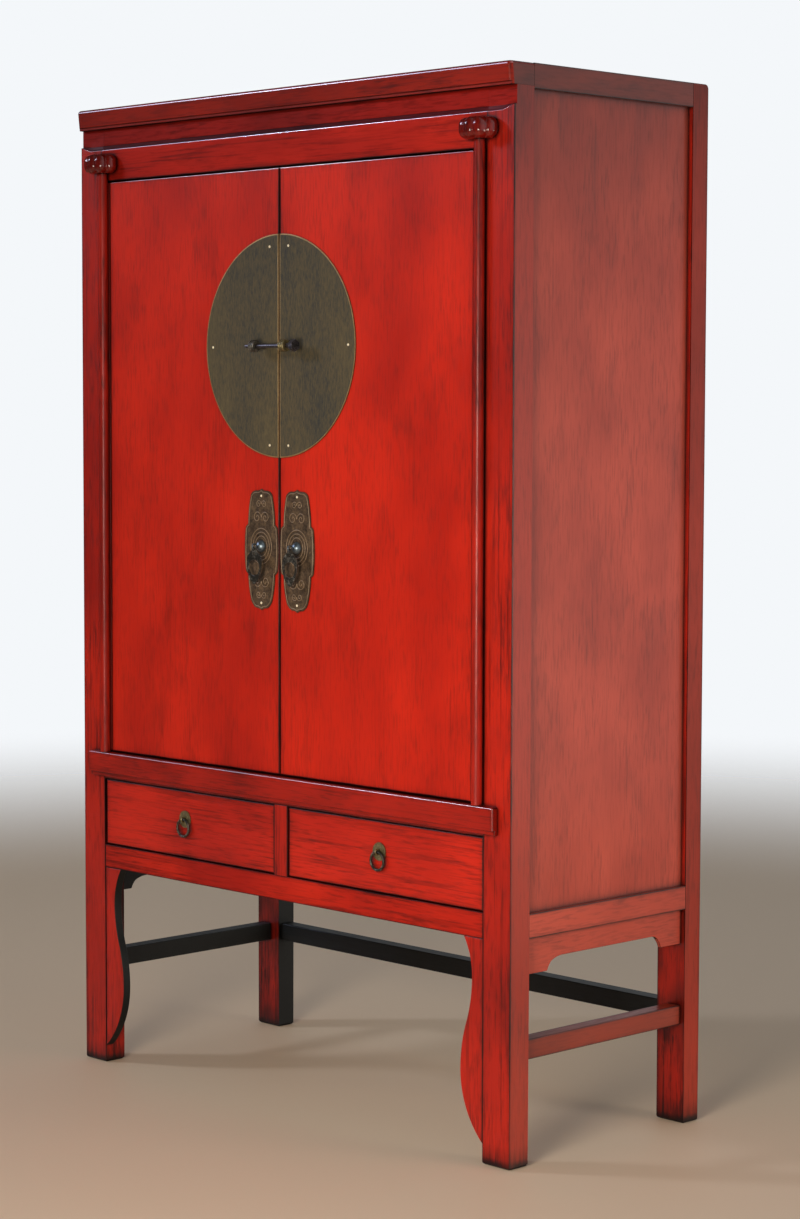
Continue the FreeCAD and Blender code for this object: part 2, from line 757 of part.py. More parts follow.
def pivotBlock(word, side):
    middle = sided(side, poleX)
    base = doorTop + " + knobLevel"
    out = "(knobReach - knobLobeRadius)"
    solids = [shaped("Cylinder", word + "KnobCore", (middle, "0", base), Radius=out, Height="knobHeight")]
    lobe = [
        ("0", "0", "knobLobeRadius", 1),
        ("knobLobeRadius", "knobLobeRadius"),
        ("knobLobeRadius", "knobHeight - knobLobeRadius", "knobLobeRadius", 1),
        ("0", "knobHeight"),
    ]
    for number in range(lobeCount):
        angle = 180.0 * (number + 0.5) / lobeCount
        name = word + "Lobe%d" % number
        body = newBody(name, ("%s + %s*cos(%g)" % (middle, out, angle), "-%s*sin(%g)" % (out, angle), base))
        addSpin(body, name, "XZ", "V_Axis", lobe)
        solids.append(body)
    half = box(word + "KnobHalf", (middle + " - knobReach - overrun", "-knobReach - overrun", base + " - overrun"),
               ("2*(knobReach + overrun)", "knobReach + overrun", "knobHeight + 2*overrun"))
    socket = shaped("Cylinder", word + "KnobSocket", (middle, "-poleForward", base + " - overrun"),
                    Radius="pivotRadius + movingGap", Height="pivotLength + movingGap + overrun")
    front = common(word + "KnobFront", [fuse(word + "Melon", solids), half])
    keep(cut(word + "PivotBlock", front, socket), word + "_pivot_block")


# Doors


def doorLeaf(word, side):
    body = newBody(word + "DoorLeaf")
    wide = leafOuter + " - " + leafInner
    addPad(body, word + "Leaf", "XZ", "-leafProud",
           rectangle(lowX(side, leafInner, leafOuter), leafBase, wide, leafHeight), "leafThickness")
    frontY = value(faceY + " - leafProud")
    dress(body, "Fillet", word + "LeafRound", lambda e: edgeAt(e, y=frontY), "leafRound")
    keep(body, word + "_door_leaf")


# Levels of the three battens, as shares of the leaf's height
battenShares = (0.12, 0.47, 0.86)


def doorBattens(word, side):
    bars = []
    inner = leafInner + " + battenEndGap"
    length = leafOuter + " - " + leafInner + " - 2*battenEndGap"
    for number, share in enumerate(battenShares):
        middle = "(%s + %g*%s)" % (leafBase, share, leafHeight)
        corners = [
            (leafBack, middle + " - battenHeight/2 + battenTaper"),
            (leafBack + " + battenThickness", middle + " - battenHeight/2"),
            (leafBack + " + battenThickness", middle + " + battenHeight/2"),
            (leafBack, middle + " + battenHeight/2 - battenTaper"),
        ]
        body = newBody(word + "Batten%d" % number)
        addPad(body, word + "Batten%d" % number, "YZ",
               lowX(side, inner, leafOuter + " - battenEndGap"), corners, length)
        bars.append(body)
    keep(group(word + "DoorBattens", bars), word + "_door_battens")


def pivotStile(word, side):
    x = sided(side, poleX)
    stileTop = doorTop + " - leafGap"
    back = box(word + "StileBack",
               (lowX(side, leafOuter, postInner + " - stilePostGap"), "stileSetback", leafBase),
               ("leafSideGap - stilePostGap", leafBack + " - stileSetback", leafHeight))
    neck = box(word + "StileNeck", (x + " - neckWidth/2", "-poleForward", leafBase),
               ("neckWidth", "poleForward + stileSetback", leafHeight))
    poleBase = doorBase + " + movingGap"
    poleHeight = "doorOpening + knobLevel - 2*movingGap"
    pole = shaped("Cylinder", word + "Pole", (x, "-poleForward", poleBase),
                  Radius="poleRadius", Height=poleHeight)
    pivot = shaped("Cylinder", word + "Pivots", (x, "-poleForward", doorBase + " - pivotLength"),
                   Radius="pivotRadius", Height="doorOpening + knobLevel + 2*pivotLength")
    keep(fuse(word + "PivotStile", [back, neck, pole, pivot]), word + "_pivot_stile")


def lockPlate(word, side):
    edge = sided(side, leafInner)
    rise = "sqrt(lockPlateRadius^2 - %s^2)" % leafInner
    corners = [
        (edge, lockZ + " - " + rise, "lockPlateRadius", side),
        (edge, lockZ + " + " + rise),
    ]
    body = newBody(word + "LockPlate")
    addPad(body, word + "LockPlate", "XZ", plateFace, corners, "plateThickness")
    keep(body, word + "_lock_plate")


ribCount = 3


def lockStaple(word, side):
    # a ribbed barrel, bored along its length, on a round neck that stands on the plate
    body = newBody(word + "Barrel", (sided(side, "stapleSpacing"), stapleY, lockZ))
    groove = "(stapleRadius - stapleRib)"
    bore = "(pinRadius + pinPlay)"
    corners = [("stapleLength/2", bore), ("-stapleLength/2", bore)]
    for rib in range(ribCount):
        start = "(-stapleLength/2 + %d*stapleLength/%d)" % (rib, ribCount)
        end = "(-stapleLength/2 + %d*stapleLength/%d)" % (rib + 1, ribCount)
        corners.append((start, groove, bowRadius((start, groove), (end, groove), "stapleRib"), -1))
    corners.append(("stapleLength/2", groove))
    addSpin(body, word + "Barrel", "XY", "H_Axis", corners)
    neckLength = "(stapleForward - plateThickness - pinRadius - pinPlay - stapleWall)"
    neck = shaped("Cylinder", word + "BarrelNeck", (sided(side, "stapleSpacing"), plateFace, lockZ),
                  toFront, Radius="stapleNeckRadius", Height=neckLength)
    keep(fuse(word + "LockStaple", [body, neck]), word + "_lock_staple")


def lockPin():
    # a round rod through both barrels, its head flares to a faceted end with a small eye
    length = "(pinTip + pinHeadStart + pinHeadLength)"
    rod = shaped("Cylinder", "pinRod", ("-pinTip", stapleY, lockZ), alongX,
                 Radius="pinRadius", Height=length + " - pinHeadRim")
    flare = shaped("Cone", "pinFlare", ("pinHeadStart", stapleY, lockZ), alongX,
                   Radius1="pinRadius", Radius2="pinHeadRadius", Height="pinHeadLength - pinHeadRim")
    rim = shaped("Cylinder", "pinRim", ("pinHeadStart + pinHeadLength - pinHeadRim", stapleY, lockZ),
                 alongX, Radius="pinHeadRadius", Height="pinHeadRim")
    facets = shaped("Prism", "pinFacets", ("pinHeadStart - overrun", stapleY, lockZ), alongX,
                    Circumradius="pinHeadRadius", Height="pinHeadLength + 2*overrun")
    head = common("pinHead", [fuse("pinHeadRound", [flare, rim]), facets])
    eye = shaped("Cylinder", "pinEye", ("pinHeadStart", stapleY + " + pinEyeOffset", lockZ), alongX,
                 Radius="pinEyeRadius", Height="pinHeadLength + overrun")
    keep(cut("lockPin", fuse("pinWhole", [rod, head]), eye), "lock_pin")


# Long cusped plate behind each pull: shares of its half width and half height, top right quarter
pullTipShare = (0.0, 1.0)
pullOgeeShare = (0.3, 0.967)
pullShoulderShare = (0.633, 0.9)
pullFootShare = (0.62, 0.84)
pullCuspShare = (0.8, 0.405)
pullStepShare = (0.95, 0.35)


def pullPlate(word, side):
    def spot(share, across, up):
        x = "(%s + %g*pullPlateWidth/2)" % (sided(side, "pullPlateCentre"), across * share[0])
        return x, "(%s + %g*pullPlateHeight/2)" % (pullZ, up * share[1])

    def quarter(across, up):
        rise = pullShoulderShare if up > 0 else pullFootShare
        return [spot(share, across, up)
                for share in (pullTipShare, pullOgeeShare, rise, pullCuspShare, pullStepShare)]

    def edge(start, end, bow, turn):
        return start + (bowRadius(start, end, bow), turn)

    hollow, swell, flat = "(0.006*pullPlateHeight)", "(0.01*pullPlateHeight)", "(0.008*pullPlateHeight)"
    nick = "(0.005*pullPlateHeight)"
    corners = []
    for across, up in ((1, 1), (1, -1), (-1, -1), (-1, 1)):
        tip, ogee, rise, cusp, step = quarter(across, up)
        if across * up > 0:
            corners += [edge(tip, ogee, hollow, 1), edge(ogee, rise, swell, -1), edge(rise, cusp, flat, -1),
                        edge(cusp, step, nick, -1),
                        edge(step, spot(pullStepShare, across, -up), "pullPlateBow", -1)]
        else:
            corners += [edge(step, cusp, nick, -1), edge(cusp, rise, flat, -1), edge(rise, ogee, swell, -1),
                        edge(ogee, tip, hollow, 1)]
    body = newBody(word + "PullPlate")
    addPad(body, word + "PullPlate", "XZ", plateFace, corners, "plateThickness")
    keep(body, word + "_pull_plate")


def pullBoss(word, side):
    x = sided(side, "pullPlateCentre")
    dome = domed(word + "Dome", x, eyeZ, "bossRadius", "bossHeight")
    shank = shaped("Cylinder", word + "EyeShank", (x, plateFace, eyeZ), toFront,
                   Radius="eyeWire", Height="eyeForward - eyeRadius")
    eye = shaped("Torus", word + "Eye", (x, eyeY, eyeZ), alongX, Radius1="eyeRadius", Radius2="eyeWire")
    keep(fuse(word + "PullBoss", [dome, shank, eye]), word + "_pull_boss")


def doorNails(word, side):
    spots = [
        ("lockNailInset", lockZ + " + lockNailUp"),
        ("lockNailAcross", lockZ),
        ("lockNailInset", lockZ + " - lockNailUp"),
        ("pullPlateCentre", pullZ + " + pullPlateHeight/2 - pullNailInset"),
        ("pullPlateCentre", pullZ + " - pullPlateHeight/2 + pullNailInset"),
    ]
    nails = []
    for number, (x, z) in enumerate(spots):
        nails.append(domed(word + "Nail%d" % number, sided(side, x), z, "nailRadius", "nailHeight"))
    keep(group(word + "DoorNails", nails), word + "_door_nails")


# Leaf pull: shares of its half width and height under the eye, right half from the top
leafTopShare = (0.25, 0.0)
leafNeckShare = (0.56, 0.17)
leafWideShare = (1.0, 0.46)
leafTipShare = (0.0, 1.0)
leafDropShare = (0.0, 0.21)
heartTopShare = (0.0, 0.36)
heartWideShare = (0.7, 0.48)
heartTipShare = (0.0, 0.77)


def leafPull(word, side):
    centre = sided(side, "pullPlateCentre")

    def spot(share, across=1):
        x = "(%s + %g*leafPullWidth/2)" % (centre, across * share[0])
        return x, "(%s - %g*leafPullHeight)" % (eyeZ, share[1])

    def edge(start, end, bow, turn):
        return start + (bowRadius(start, end, bow), turn)

    start = eyeY + " - leafPullThickness/2"
    top, neck, wide = spot(leafTopShare), spot(leafNeckShare), spot(leafWideShare)
    tip = spot(leafTipShare)
    wideLeft, neckLeft, topLeft = spot(leafWideShare, -1), spot(leafNeckShare, -1), spot(leafTopShare, -1)
    hollow, swell, belly = "(0.02*leafPullHeight)", "(0.05*leafPullHeight)", "(0.08*leafPullHeight)"
    corners = [
        edge(top, neck, hollow, 1), edge(neck, wide, swell, -1), edge(wide, tip, belly, -1),
        edge(tip, wideLeft, belly, -1), edge(wideLeft, neckLeft, swell, -1),
        edge(neckLeft, topLeft, hollow, 1), topLeft,
    ]
    body = newBody(word + "LeafPull")
    addPad(body, word + "LeafPull", "XZ", start, corners, "leafPullThickness")
    heartTop, heartTip = spot(heartTopShare), spot(heartTipShare)
    heartRight, heartLeft = spot(heartWideShare), spot(heartWideShare, -1)
    heart = [
        edge(heartTop, heartRight, swell, -1), edge(heartRight, heartTip, belly, -1),
        edge(heartTip, heartLeft, belly, -1), edge(heartLeft, heartTop, swell, -1),
    ]
    through = "leafPullThickness + 2*overrun"
    addPocket(body, word + "LeafHeart", "XZ", start + " - overrun", heart, through)
    hole = shaped("Cylinder", word + "PullHole",
                  (centre, eyeY + " + leafPullThickness/2 + overrun",
                   eyeZ + " - eyeRadius + eyeWire + leafPullPlay - leafPullHole"),
                  toFront, Radius="leafPullHole", Height=through)
    x, z = spot(leafDropShare)
    drop = shaped("Cylinder", word + "LeafDrop", (x, eyeY + " + leafPullThickness/2 + overrun", z),
                  toFront, Radius="leafDropRadius", Height=through)
    keep(cut(word + "LeafPullBored", cut(word + "LeafPullPierced", body, drop), hole), word + "_leaf_pull")


# Drawers


def drawer(word, side):
    wide = drawerOuter + " - " + drawerInner
    x = lowX(side, drawerInner, drawerOuter)
    frontHeight = "(drawerOpening - 2*drawerGap)"
    body = newBody(word + "DrawerFront")
    addPad(body, word + "DrawerFront", "XZ", "drawerSetback",
           rectangle(x, drawerFloor, wide, frontHeight), "drawerFrontThickness")
    frontY = value(faceY + " + drawerSetback")
    dress(body, "Fillet", word + "DrawerRound", lambda e: edgeAt(e, y=frontY), "drawerFrontRound")
    keep(body, word + "_drawer_front")
    thick = "drawerSideThickness"
    sideSize = (thick, drawerLength, "drawerSideHeight")
    innerWide = wide + " - 2*drawerSideThickness"
    walls = [
        box(word + "DrawerNearSide", (x, drawerBack, drawerFloor), sideSize),
        box(word + "DrawerFarSide", (x + " + " + wide + " - " + thick, drawerBack, drawerFloor), sideSize),
        box(word + "DrawerRear", (x + " + " + thick, drawerBack + " + " + drawerLength + " - " + thick, drawerFloor),
            (innerWide, thick, "drawerSideHeight")),
        box(word + "DrawerBottom", (x + " + " + thick, drawerBack, drawerFloor),
            (innerWide, drawerLength + " - " + thick, "drawerBottomThickness")),
    ]
    keep(group(word + "DrawerBox", walls), word + "_drawer_box")
    centre = sided(side, drawerCentre) + " - ringOffset"
    plate = shaped("Cylinder", word + "RingDisc", (centre, "drawerSetback", ringPlateZ), toFront,
                   Radius="ringPlateRadius", Height="plateThickness")
    shank = shaped("Cylinder", word + "RingShank", (centre, ringPlateFace, ringPlateZ), toFront,
                   Radius="ringEyeWire", Height="ringForward - ringEyeRadius")
    eye = shaped("Torus", word + "RingEye", (centre, ringY, ringPlateZ), alongX,
                 Radius1="ringEyeRadius", Radius2="ringEyeWire")
    keep(fuse(word + "RingPlate", [plate, shank, eye]), word + "_ring_plate")
    ring = shaped("Torus", word + "DrawerRing",
                  (centre, ringY, ringPlateZ + " - ringRadius"),
                  toFront, Radius1="ringRadius", Radius2="ringWire")
    keep(ring, word + "_drawer_ring")


sides = (("left", -1), ("right", 1))
for word_, side_ in sides:
    frontPost("front_%s_post" % word_, side_)
    rearPost("rear_%s_post" % word_, side_)
corniceMoulding()
topBoards()
headRail()
waistRail()
lowerFront()
for word_, side_ in sides:
    legWing("%s_leg_wing" % word_, side_)
    sideFrame(word_, side_)
    sideApron(word_, side_)
    pivotBlock(word_, side_)
stretchers()
backAndInside()
for word_, side_ in sides:
    doorLeaf(word_, side_)
    doorBattens(word_, side_)
    pivotStile(word_, side_)
    lockPlate(word_, side_)
    lockStaple(word_, side_)
    pullPlate(word_, side_)
    pullBoss(word_, side_)
    doorNails(word_, side_)
    leafPull(word_, side_)
    drawer(word_, side_)
lockPin()

doc.recompute()
for item in doc.Objects:
    if "Invalid" in item.State or "Error" in item.State:
        raise RuntimeError(item.Label + " did not compute: " + str(item.State))
for part in subParts:
    if part.Shape.isNull() or not part.Shape.isValid():
        raise RuntimeError(part.Label + " has no valid shape")

os.makedirs("parts", exist_ok=True)
for part in subParts:
    part.Shape.exportStep("parts/" + part.Label + ".step")
print(len(subParts), "parts written")
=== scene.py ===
import json
import math
import bpy
from mathutils import Matrix, Vector


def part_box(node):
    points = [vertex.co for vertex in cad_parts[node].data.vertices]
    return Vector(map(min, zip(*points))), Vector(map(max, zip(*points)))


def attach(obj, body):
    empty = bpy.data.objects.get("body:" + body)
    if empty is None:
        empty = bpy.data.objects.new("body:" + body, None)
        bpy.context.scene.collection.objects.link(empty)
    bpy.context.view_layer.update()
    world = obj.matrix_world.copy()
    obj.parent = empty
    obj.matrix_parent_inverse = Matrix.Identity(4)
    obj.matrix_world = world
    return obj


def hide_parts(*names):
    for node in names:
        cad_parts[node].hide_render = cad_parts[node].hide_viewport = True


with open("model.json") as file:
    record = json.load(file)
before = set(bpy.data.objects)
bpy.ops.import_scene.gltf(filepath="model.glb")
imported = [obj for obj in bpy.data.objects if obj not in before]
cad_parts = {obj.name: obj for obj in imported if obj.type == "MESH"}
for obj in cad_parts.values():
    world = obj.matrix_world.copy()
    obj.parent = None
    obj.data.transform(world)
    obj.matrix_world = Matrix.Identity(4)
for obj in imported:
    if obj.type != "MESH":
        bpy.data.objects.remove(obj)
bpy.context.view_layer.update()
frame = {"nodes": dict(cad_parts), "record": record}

cadNodes = frame["nodes"]
bodyOf = {node: body for body, members in frame["record"]["behaviour"]["bodies"].items() for node in members}
mm = 0.001


# Small helpers

def linear(hexColour):
    # sRGB hex text to the linear colour that the shaders take
    parts = [int(hexColour[i:i + 2], 16) / 255 for i in (1, 3, 5)]
    return [c / 12.92 if c <= 0.04045 else ((c + 0.055) / 1.055) ** 2.4 for c in parts] + [1.0]


def addNode(tree, kind, inputs=None, stops=None, **settings):
    # a shader node with its settings; an input is a value or another node's output
    made = tree.nodes.new("ShaderNode" + kind)
    for key, value in settings.items():
        setattr(made, key, value)
    for key, value in (inputs or {}).items():
        if isinstance(value, bpy.types.NodeSocket):
            tree.links.new(value, made.inputs[key])
        else:
            made.inputs[key].default_value = value
    if stops:
        points = made.color_ramp.elements
        points[0].position, points[0].color = stops[0]
        points[1].position, points[1].color = stops[-1]
        for position, colour in stops[1:-1]:
            points.new(position).color = colour
    return made


def newMaterial(name):
    material = bpy.data.materials.new(name)
    material.use_nodes = True
    material.node_tree.nodes.clear()
    return material, material.node_tree


def deselectAll():
    for obj in bpy.context.selected_objects:
        obj.select_set(False)


def pick(obj):
    deselectAll()
    obj.select_set(True)
    bpy.context.view_layer.objects.active = obj


def dress(obj, material):
    obj.data.materials.clear()
    obj.data.materials.append(material)


# Materials

lacquerLook = {
    # widths, reaches and foot heights in mm, lengths in widths, heights of the painted shade at the top in m; a
    # point of the picture is nearly 3 mm across here, so the finest brush marks are drawn that coarse
    "bright": "#b92110", "deep": "#8c150a", "glaze": "#120302", "smudge": "#3c0a05",
    "dashWidth": 4.0, "dashLength": 9.0, "dashes": 0.5,
    "hairWidth": 6.0, "hairLength": 45.0, "hairs": 0.45,
    "smokeWidth": 55.0, "smokeLength": 3.0, "smoke": 0.4, "cloudWidth": 230.0, "cloudLength": 1.5,
    # cornerReach: how far painted shade reaches out of the corners; rimShade: darkening towards the rims, partly
    # glaze and partly painted shade
    "cornerReach": 8.0, "rimLine": 2.8, "rimReach": 9.0, "rimShade": 0.3,
    "foot": 0.0, "sole": 16.0, "soleBlack": 7.0, "crown": 0.0, "crownFull": 1.85,
    "roughness": 0.38, "specular": 0.22, "coat": 0.07, "coatRoughness": 0.1, "coatIor": 1.5,
    "relief": 0.15, "coatWaves": 0.0,
}


def lacquerMaterial(name, grain, look):
    # Brushed polychrome lacquer over elm: thin bright coats drawn along the grain, a dark glaze rubbed along edges,
    # painted shade in the corners, partly glaze left there, and a satin gloss
    material, tree = newMaterial(name)
    place = addNode(tree, "TexCoord").outputs["Object"]
    noise = {}
    for mark, width, length, detail in (
            ("dash", look["dashWidth"], look["dashLength"], 2.5),
            ("hair", look["hairWidth"], look["hairLength"], 1.0),
            ("smoke", look["smokeWidth"], look["smokeLength"], 4.0),
            ("cloud", look["cloudWidth"], look["cloudLength"], 2.0)):
        squeeze = [1.0, 1.0, 1.0]
        squeeze["xyz".index(grain)] = 1 / length
        along = addNode(tree, "Mapping", {"Vector": place, "Scale": squeeze, "Location": [width / 10] * 3})
        noise[mark] = addNode(tree, "TexNoise", {"Vector": along.outputs[0], "Scale": 1000 / width,
                                                 "Detail": detail, "Roughness": 0.55}).outputs["Fac"]
    # bright coats over deep ones, then brush marks, long hair lines and smoky patches of dark glaze
    tone = addNode(tree, "MapRange", {"Value": noise["cloud"], "From Min": 0.35, "From Max": 0.65}).outputs[0]
    colour = addNode(tree, "Mix", {"Factor": tone, 6: linear(look["deep"]), 7: linear(look["bright"])},
                     data_type="RGBA").outputs[2]
    gate = addNode(tree, "MapRange", {"Value": noise["smoke"], "From Min": 0.35, "From Max": 0.6,
                                      "To Min": 0.35}).outputs[0]
    for mark, low, high, most in (("dash", 0.48, 0.66, look["dashes"]), ("hair", 0.58, 0.68, look["hairs"]),
                                  ("smoke", 0.54, 0.74, look["smoke"])):
        cover = addNode(tree, "MapRange", {"Value": noise[mark], "From Min": low, "From Max": high,
                                           "To Max": most}).outputs[0]
        if mark != "smoke":
            cover = addNode(tree, "Math", {0: cover, 1: gate}, operation="MULTIPLY").outputs[0]
        colour = addNode(tree, "Mix", {"Factor": cover, 6: colour, 7: linear(look["smudge"])},
                         data_type="RGBA").outputs[2]
    # painted shade in the corners, partly the glaze that stayed there; darkening towards the rims, partly glaze and
    # partly painted shade; and the dark line along each edge
    corner = addNode(tree, "AmbientOcclusion", {"Distance": look["cornerReach"] * mm}, samples=8).outputs["AO"]
    covers = [(corner, 0.95, 0.45, 0.9, None)]
    if look["rimLine"]:
        near = addNode(tree, "Attribute", attribute_name="rimNear").outputs["Vector"]
        far = addNode(tree, "Attribute", attribute_name="rimFar").outputs["Vector"]
        rim = addNode(tree, "VectorMath", {0: near, 1: far}, operation="MINIMUM").outputs[0]
        rim = addNode(tree, "SeparateXYZ", {"Vector": rim}).outputs
        least = addNode(tree, "Math", {0: rim[0], 1: rim[1]}, operation="MINIMUM").outputs[0]
        rim = addNode(tree, "Math", {0: least, 1: rim[2]}, operation="MINIMUM").outputs[0]
        covers += [(rim, look["rimLine"], look["rimLine"] * 0.3, 1.7, noise["smoke"]),
                   (rim, look["rimReach"], 0.0, look["rimShade"] * 2, noise["dash"])]
    height = addNode(tree, "SeparateXYZ", {"Vector": place}).outputs["Z"]
    if look["foot"]:
        covers += [(height, look["foot"] * mm, 0.0, 1.7, noise["hair"]),
                   (height, look["sole"] * mm, look["soleBlack"] * mm, 1.7, noise["smoke"])]
    # painted shade: darker towards the top, where less light falls
    if look["crown"]:
        covers.append((height, look["crown"], look["crownFull"], 1.0, noise["smoke"]))
    for value, start, full, most, broken in covers:
        cover = addNode(tree, "MapRange", {"Value": value, "From Min": start, "From Max": full, "To Max": most}
                        ).outputs[0]
        if broken:
            cover = addNode(tree, "Math", {0: cover, 1: broken}, operation="MULTIPLY", use_clamp=True).outputs[0]
        colour = addNode(tree, "Mix", {"Factor": cover, 6: colour, 7: linear(look["glaze"])},
                         data_type="RGBA").outputs[2]
    gloss = addNode(tree, "MapRange", {"Value": noise["dash"], "From Min": 0.3, "From Max": 0.7,
                                       "To Min": look["roughness"] - 0.06, "To Max": look["roughness"] + 0.1}
                    ).outputs[0]
    relief = addNode(tree, "Bump", {"Strength": 0.3, "Distance": look["relief"] * mm, "Height": noise["dash"]}
                     ).outputs["Normal"]
    shader = addNode(tree, "BsdfPrincipled", {
        "Base Color": colour, "Roughness": gloss, "IOR": 1.5, "Specular IOR Level": look["specular"],
        "Coat Weight": look["coat"], "Coat Roughness": look["coatRoughness"], "Coat IOR": look["coatIor"],
        "Normal": relief})
    if look["coatWaves"]:  # thick lacquer dries uneven and breaks its lights up
        waves = addNode(tree, "Bump", {"Strength": 1.0, "Distance": look["coatWaves"] * mm,
                                       "Height": noise["hair"]}).outputs["Normal"]
        tree.links.new(waves, shader.inputs["Coat Normal"])
    addNode(tree, "OutputMaterial", {"Surface": shader.outputs[0]})
    return material


elmLook = {"pale": "#a9855c", "dark": "#6f4d2e", "ringWidth": 7.0, "ringStretch": 0.05, "roughness": 0.62,
           "relief": 0.3}


def elmMaterial(name, grain, look):
    # Planed bare elm inside the cabinet: coarse open grain, no finish, dull
    material, tree = newMaterial(name)
    place = addNode(tree, "TexCoord").outputs["Object"]
    squeeze = [1.0, 1.0, 1.0]
    squeeze["xyz".index(grain)] = look["ringStretch"]
    along = addNode(tree, "Mapping", {"Vector": place, "Scale": squeeze}).outputs["Vector"]
    rings = addNode(tree, "TexNoise", {"Vector": along, "Scale": 1000 / look["ringWidth"], "Detail": 6.0,
                                       "Roughness": 0.6, "Distortion": 0.6}).outputs["Fac"]
    colour = addNode(tree, "ValToRGB", {"Fac": rings}, stops=[
        (0.32, linear(look["dark"])), (0.62, linear(look["pale"]))]).outputs["Color"]
    relief = addNode(tree, "Bump", {"Strength": 0.4, "Distance": look["relief"] * mm, "Height": rings}
                     ).outputs["Normal"]
    shader = addNode(tree, "BsdfPrincipled", {"Base Color": colour, "Roughness": look["roughness"],
                                              "IOR": 1.45, "Normal": relief})
    addNode(tree, "OutputMaterial", {"Surface": shader.outputs[0]})
    return material


metalLooks = {
    # brushed sheet brass gone olive brown, with soft upright bands
    "plateBronze": {"low": "#2b3234", "high": "#655a3e", "spot": "#504837", "grain": (1.0, 1.0, 0.25),
                    "patch": 150.0, "fleck": 3.0, "contrast": 0.7, "roughness": 0.52, "metal": 0.0, "relief": 0.02,
                    "specular": 0.12},
    # the filed rim of the sheet, where the brass shows through
    "rimBrass": {"low": "#7d663f", "high": "#b89866", "spot": "#9c8054", "grain": (1.0, 1.0, 1.0),
                 "patch": 30.0, "fleck": 4.0, "contrast": 0.6, "roughness": 0.42, "metal": 0.6, "relief": 0.02},
    # engraved sheet, mottled brown, olive and a little rose
    "pullBronze": {"low": "#241c14", "high": "#6c5842", "spot": "#493b2d", "grain": (1.0, 1.0, 1.0),
                   "patch": 14.0, "fleck": 5.0, "contrast": 0.8, "roughness": 0.5, "metal": 0.0, "relief": 0.2,
                   "specular": 0.12},
    # raised lines of the engraved sheet, rubbed paler
    "wireBronze": {"low": "#493a2b", "high": "#90785c", "spot": "#6a5641", "grain": (1.0, 1.0, 1.0),
                   "patch": 14.0, "fleck": 5.0, "contrast": 0.6, "roughness": 0.45, "metal": 0.2, "relief": 0.05},
    # cast brass, dulled
    "agedBrass": {"low": "#524a35", "high": "#ab9d70", "spot": "#7a6f4d", "grain": (1.0, 1.0, 1.0),
                  "patch": 8.0, "fleck": 3.0, "contrast": 0.6, "roughness": 0.36, "metal": 0.7, "relief": 0.05},
    # nail heads, rubbed bright
    "nailBrass": {"low": "#dccb9c", "high": "#fff4d6", "spot": "#f4e5bf", "grain": (1.0, 1.0, 1.0),
                  "patch": 3.0, "fleck": 1.5, "contrast": 1.0, "roughness": 0.4, "metal": 0.2, "relief": 0.0},
    # cast iron of the pulls and rings, grey brown, its edges paled by rubbing and by a painted highlight
    "darkIron": {"low": "#1c1a16", "high": "#b3ac99", "spot": "#3d3a33", "grain": (1.0, 1.0, 1.0),
                 "patch": 9.0, "fleck": 4.0, "contrast": 0.5, "roughness": 0.34, "metal": 0.7, "relief": 0.1},
    # blued steel of the bosses
    "blueSteel": {"low": "#4a555c", "high": "#98a7af", "spot": "#667279", "grain": (1.0, 1.0, 1.0),
                  "patch": 9.0, "fleck": 3.0, "contrast": 0.6, "roughness": 0.36, "metal": 0.8, "relief": 0.03},
    # worn steel of the barrels
    "wornSteel": {"low": "#2c2925", "high": "#8e8a80", "spot": "#4c4942", "grain": (1.0, 1.0, 1.0),
                  "patch": 6.0, "fleck": 3.0, "contrast": 0.6, "roughness": 0.4, "metal": 0.6, "relief": 0.05},
    # the pin is darker than its barrels, handled smooth
    "pinSteel": {"low": "#262527", "high": "#88858b", "spot": "#444146", "grain": (1.0, 1.0, 1.0),
                 "patch": 8.0, "fleck": 3.0, "contrast": 0.6, "roughness": 0.34, "metal": 0.7, "relief": 0.05},
}


# grimeAndShade darkens corners, as grime and painted shade; rubbedAndLitReach pales edges, as rubbing and painted
# highlight
metalWear = {"grimeAndShade": "#15100b", "grimeAndShadeReach": 3.0, "rubbedAndLitReach": 0.8}  # reaches in mm


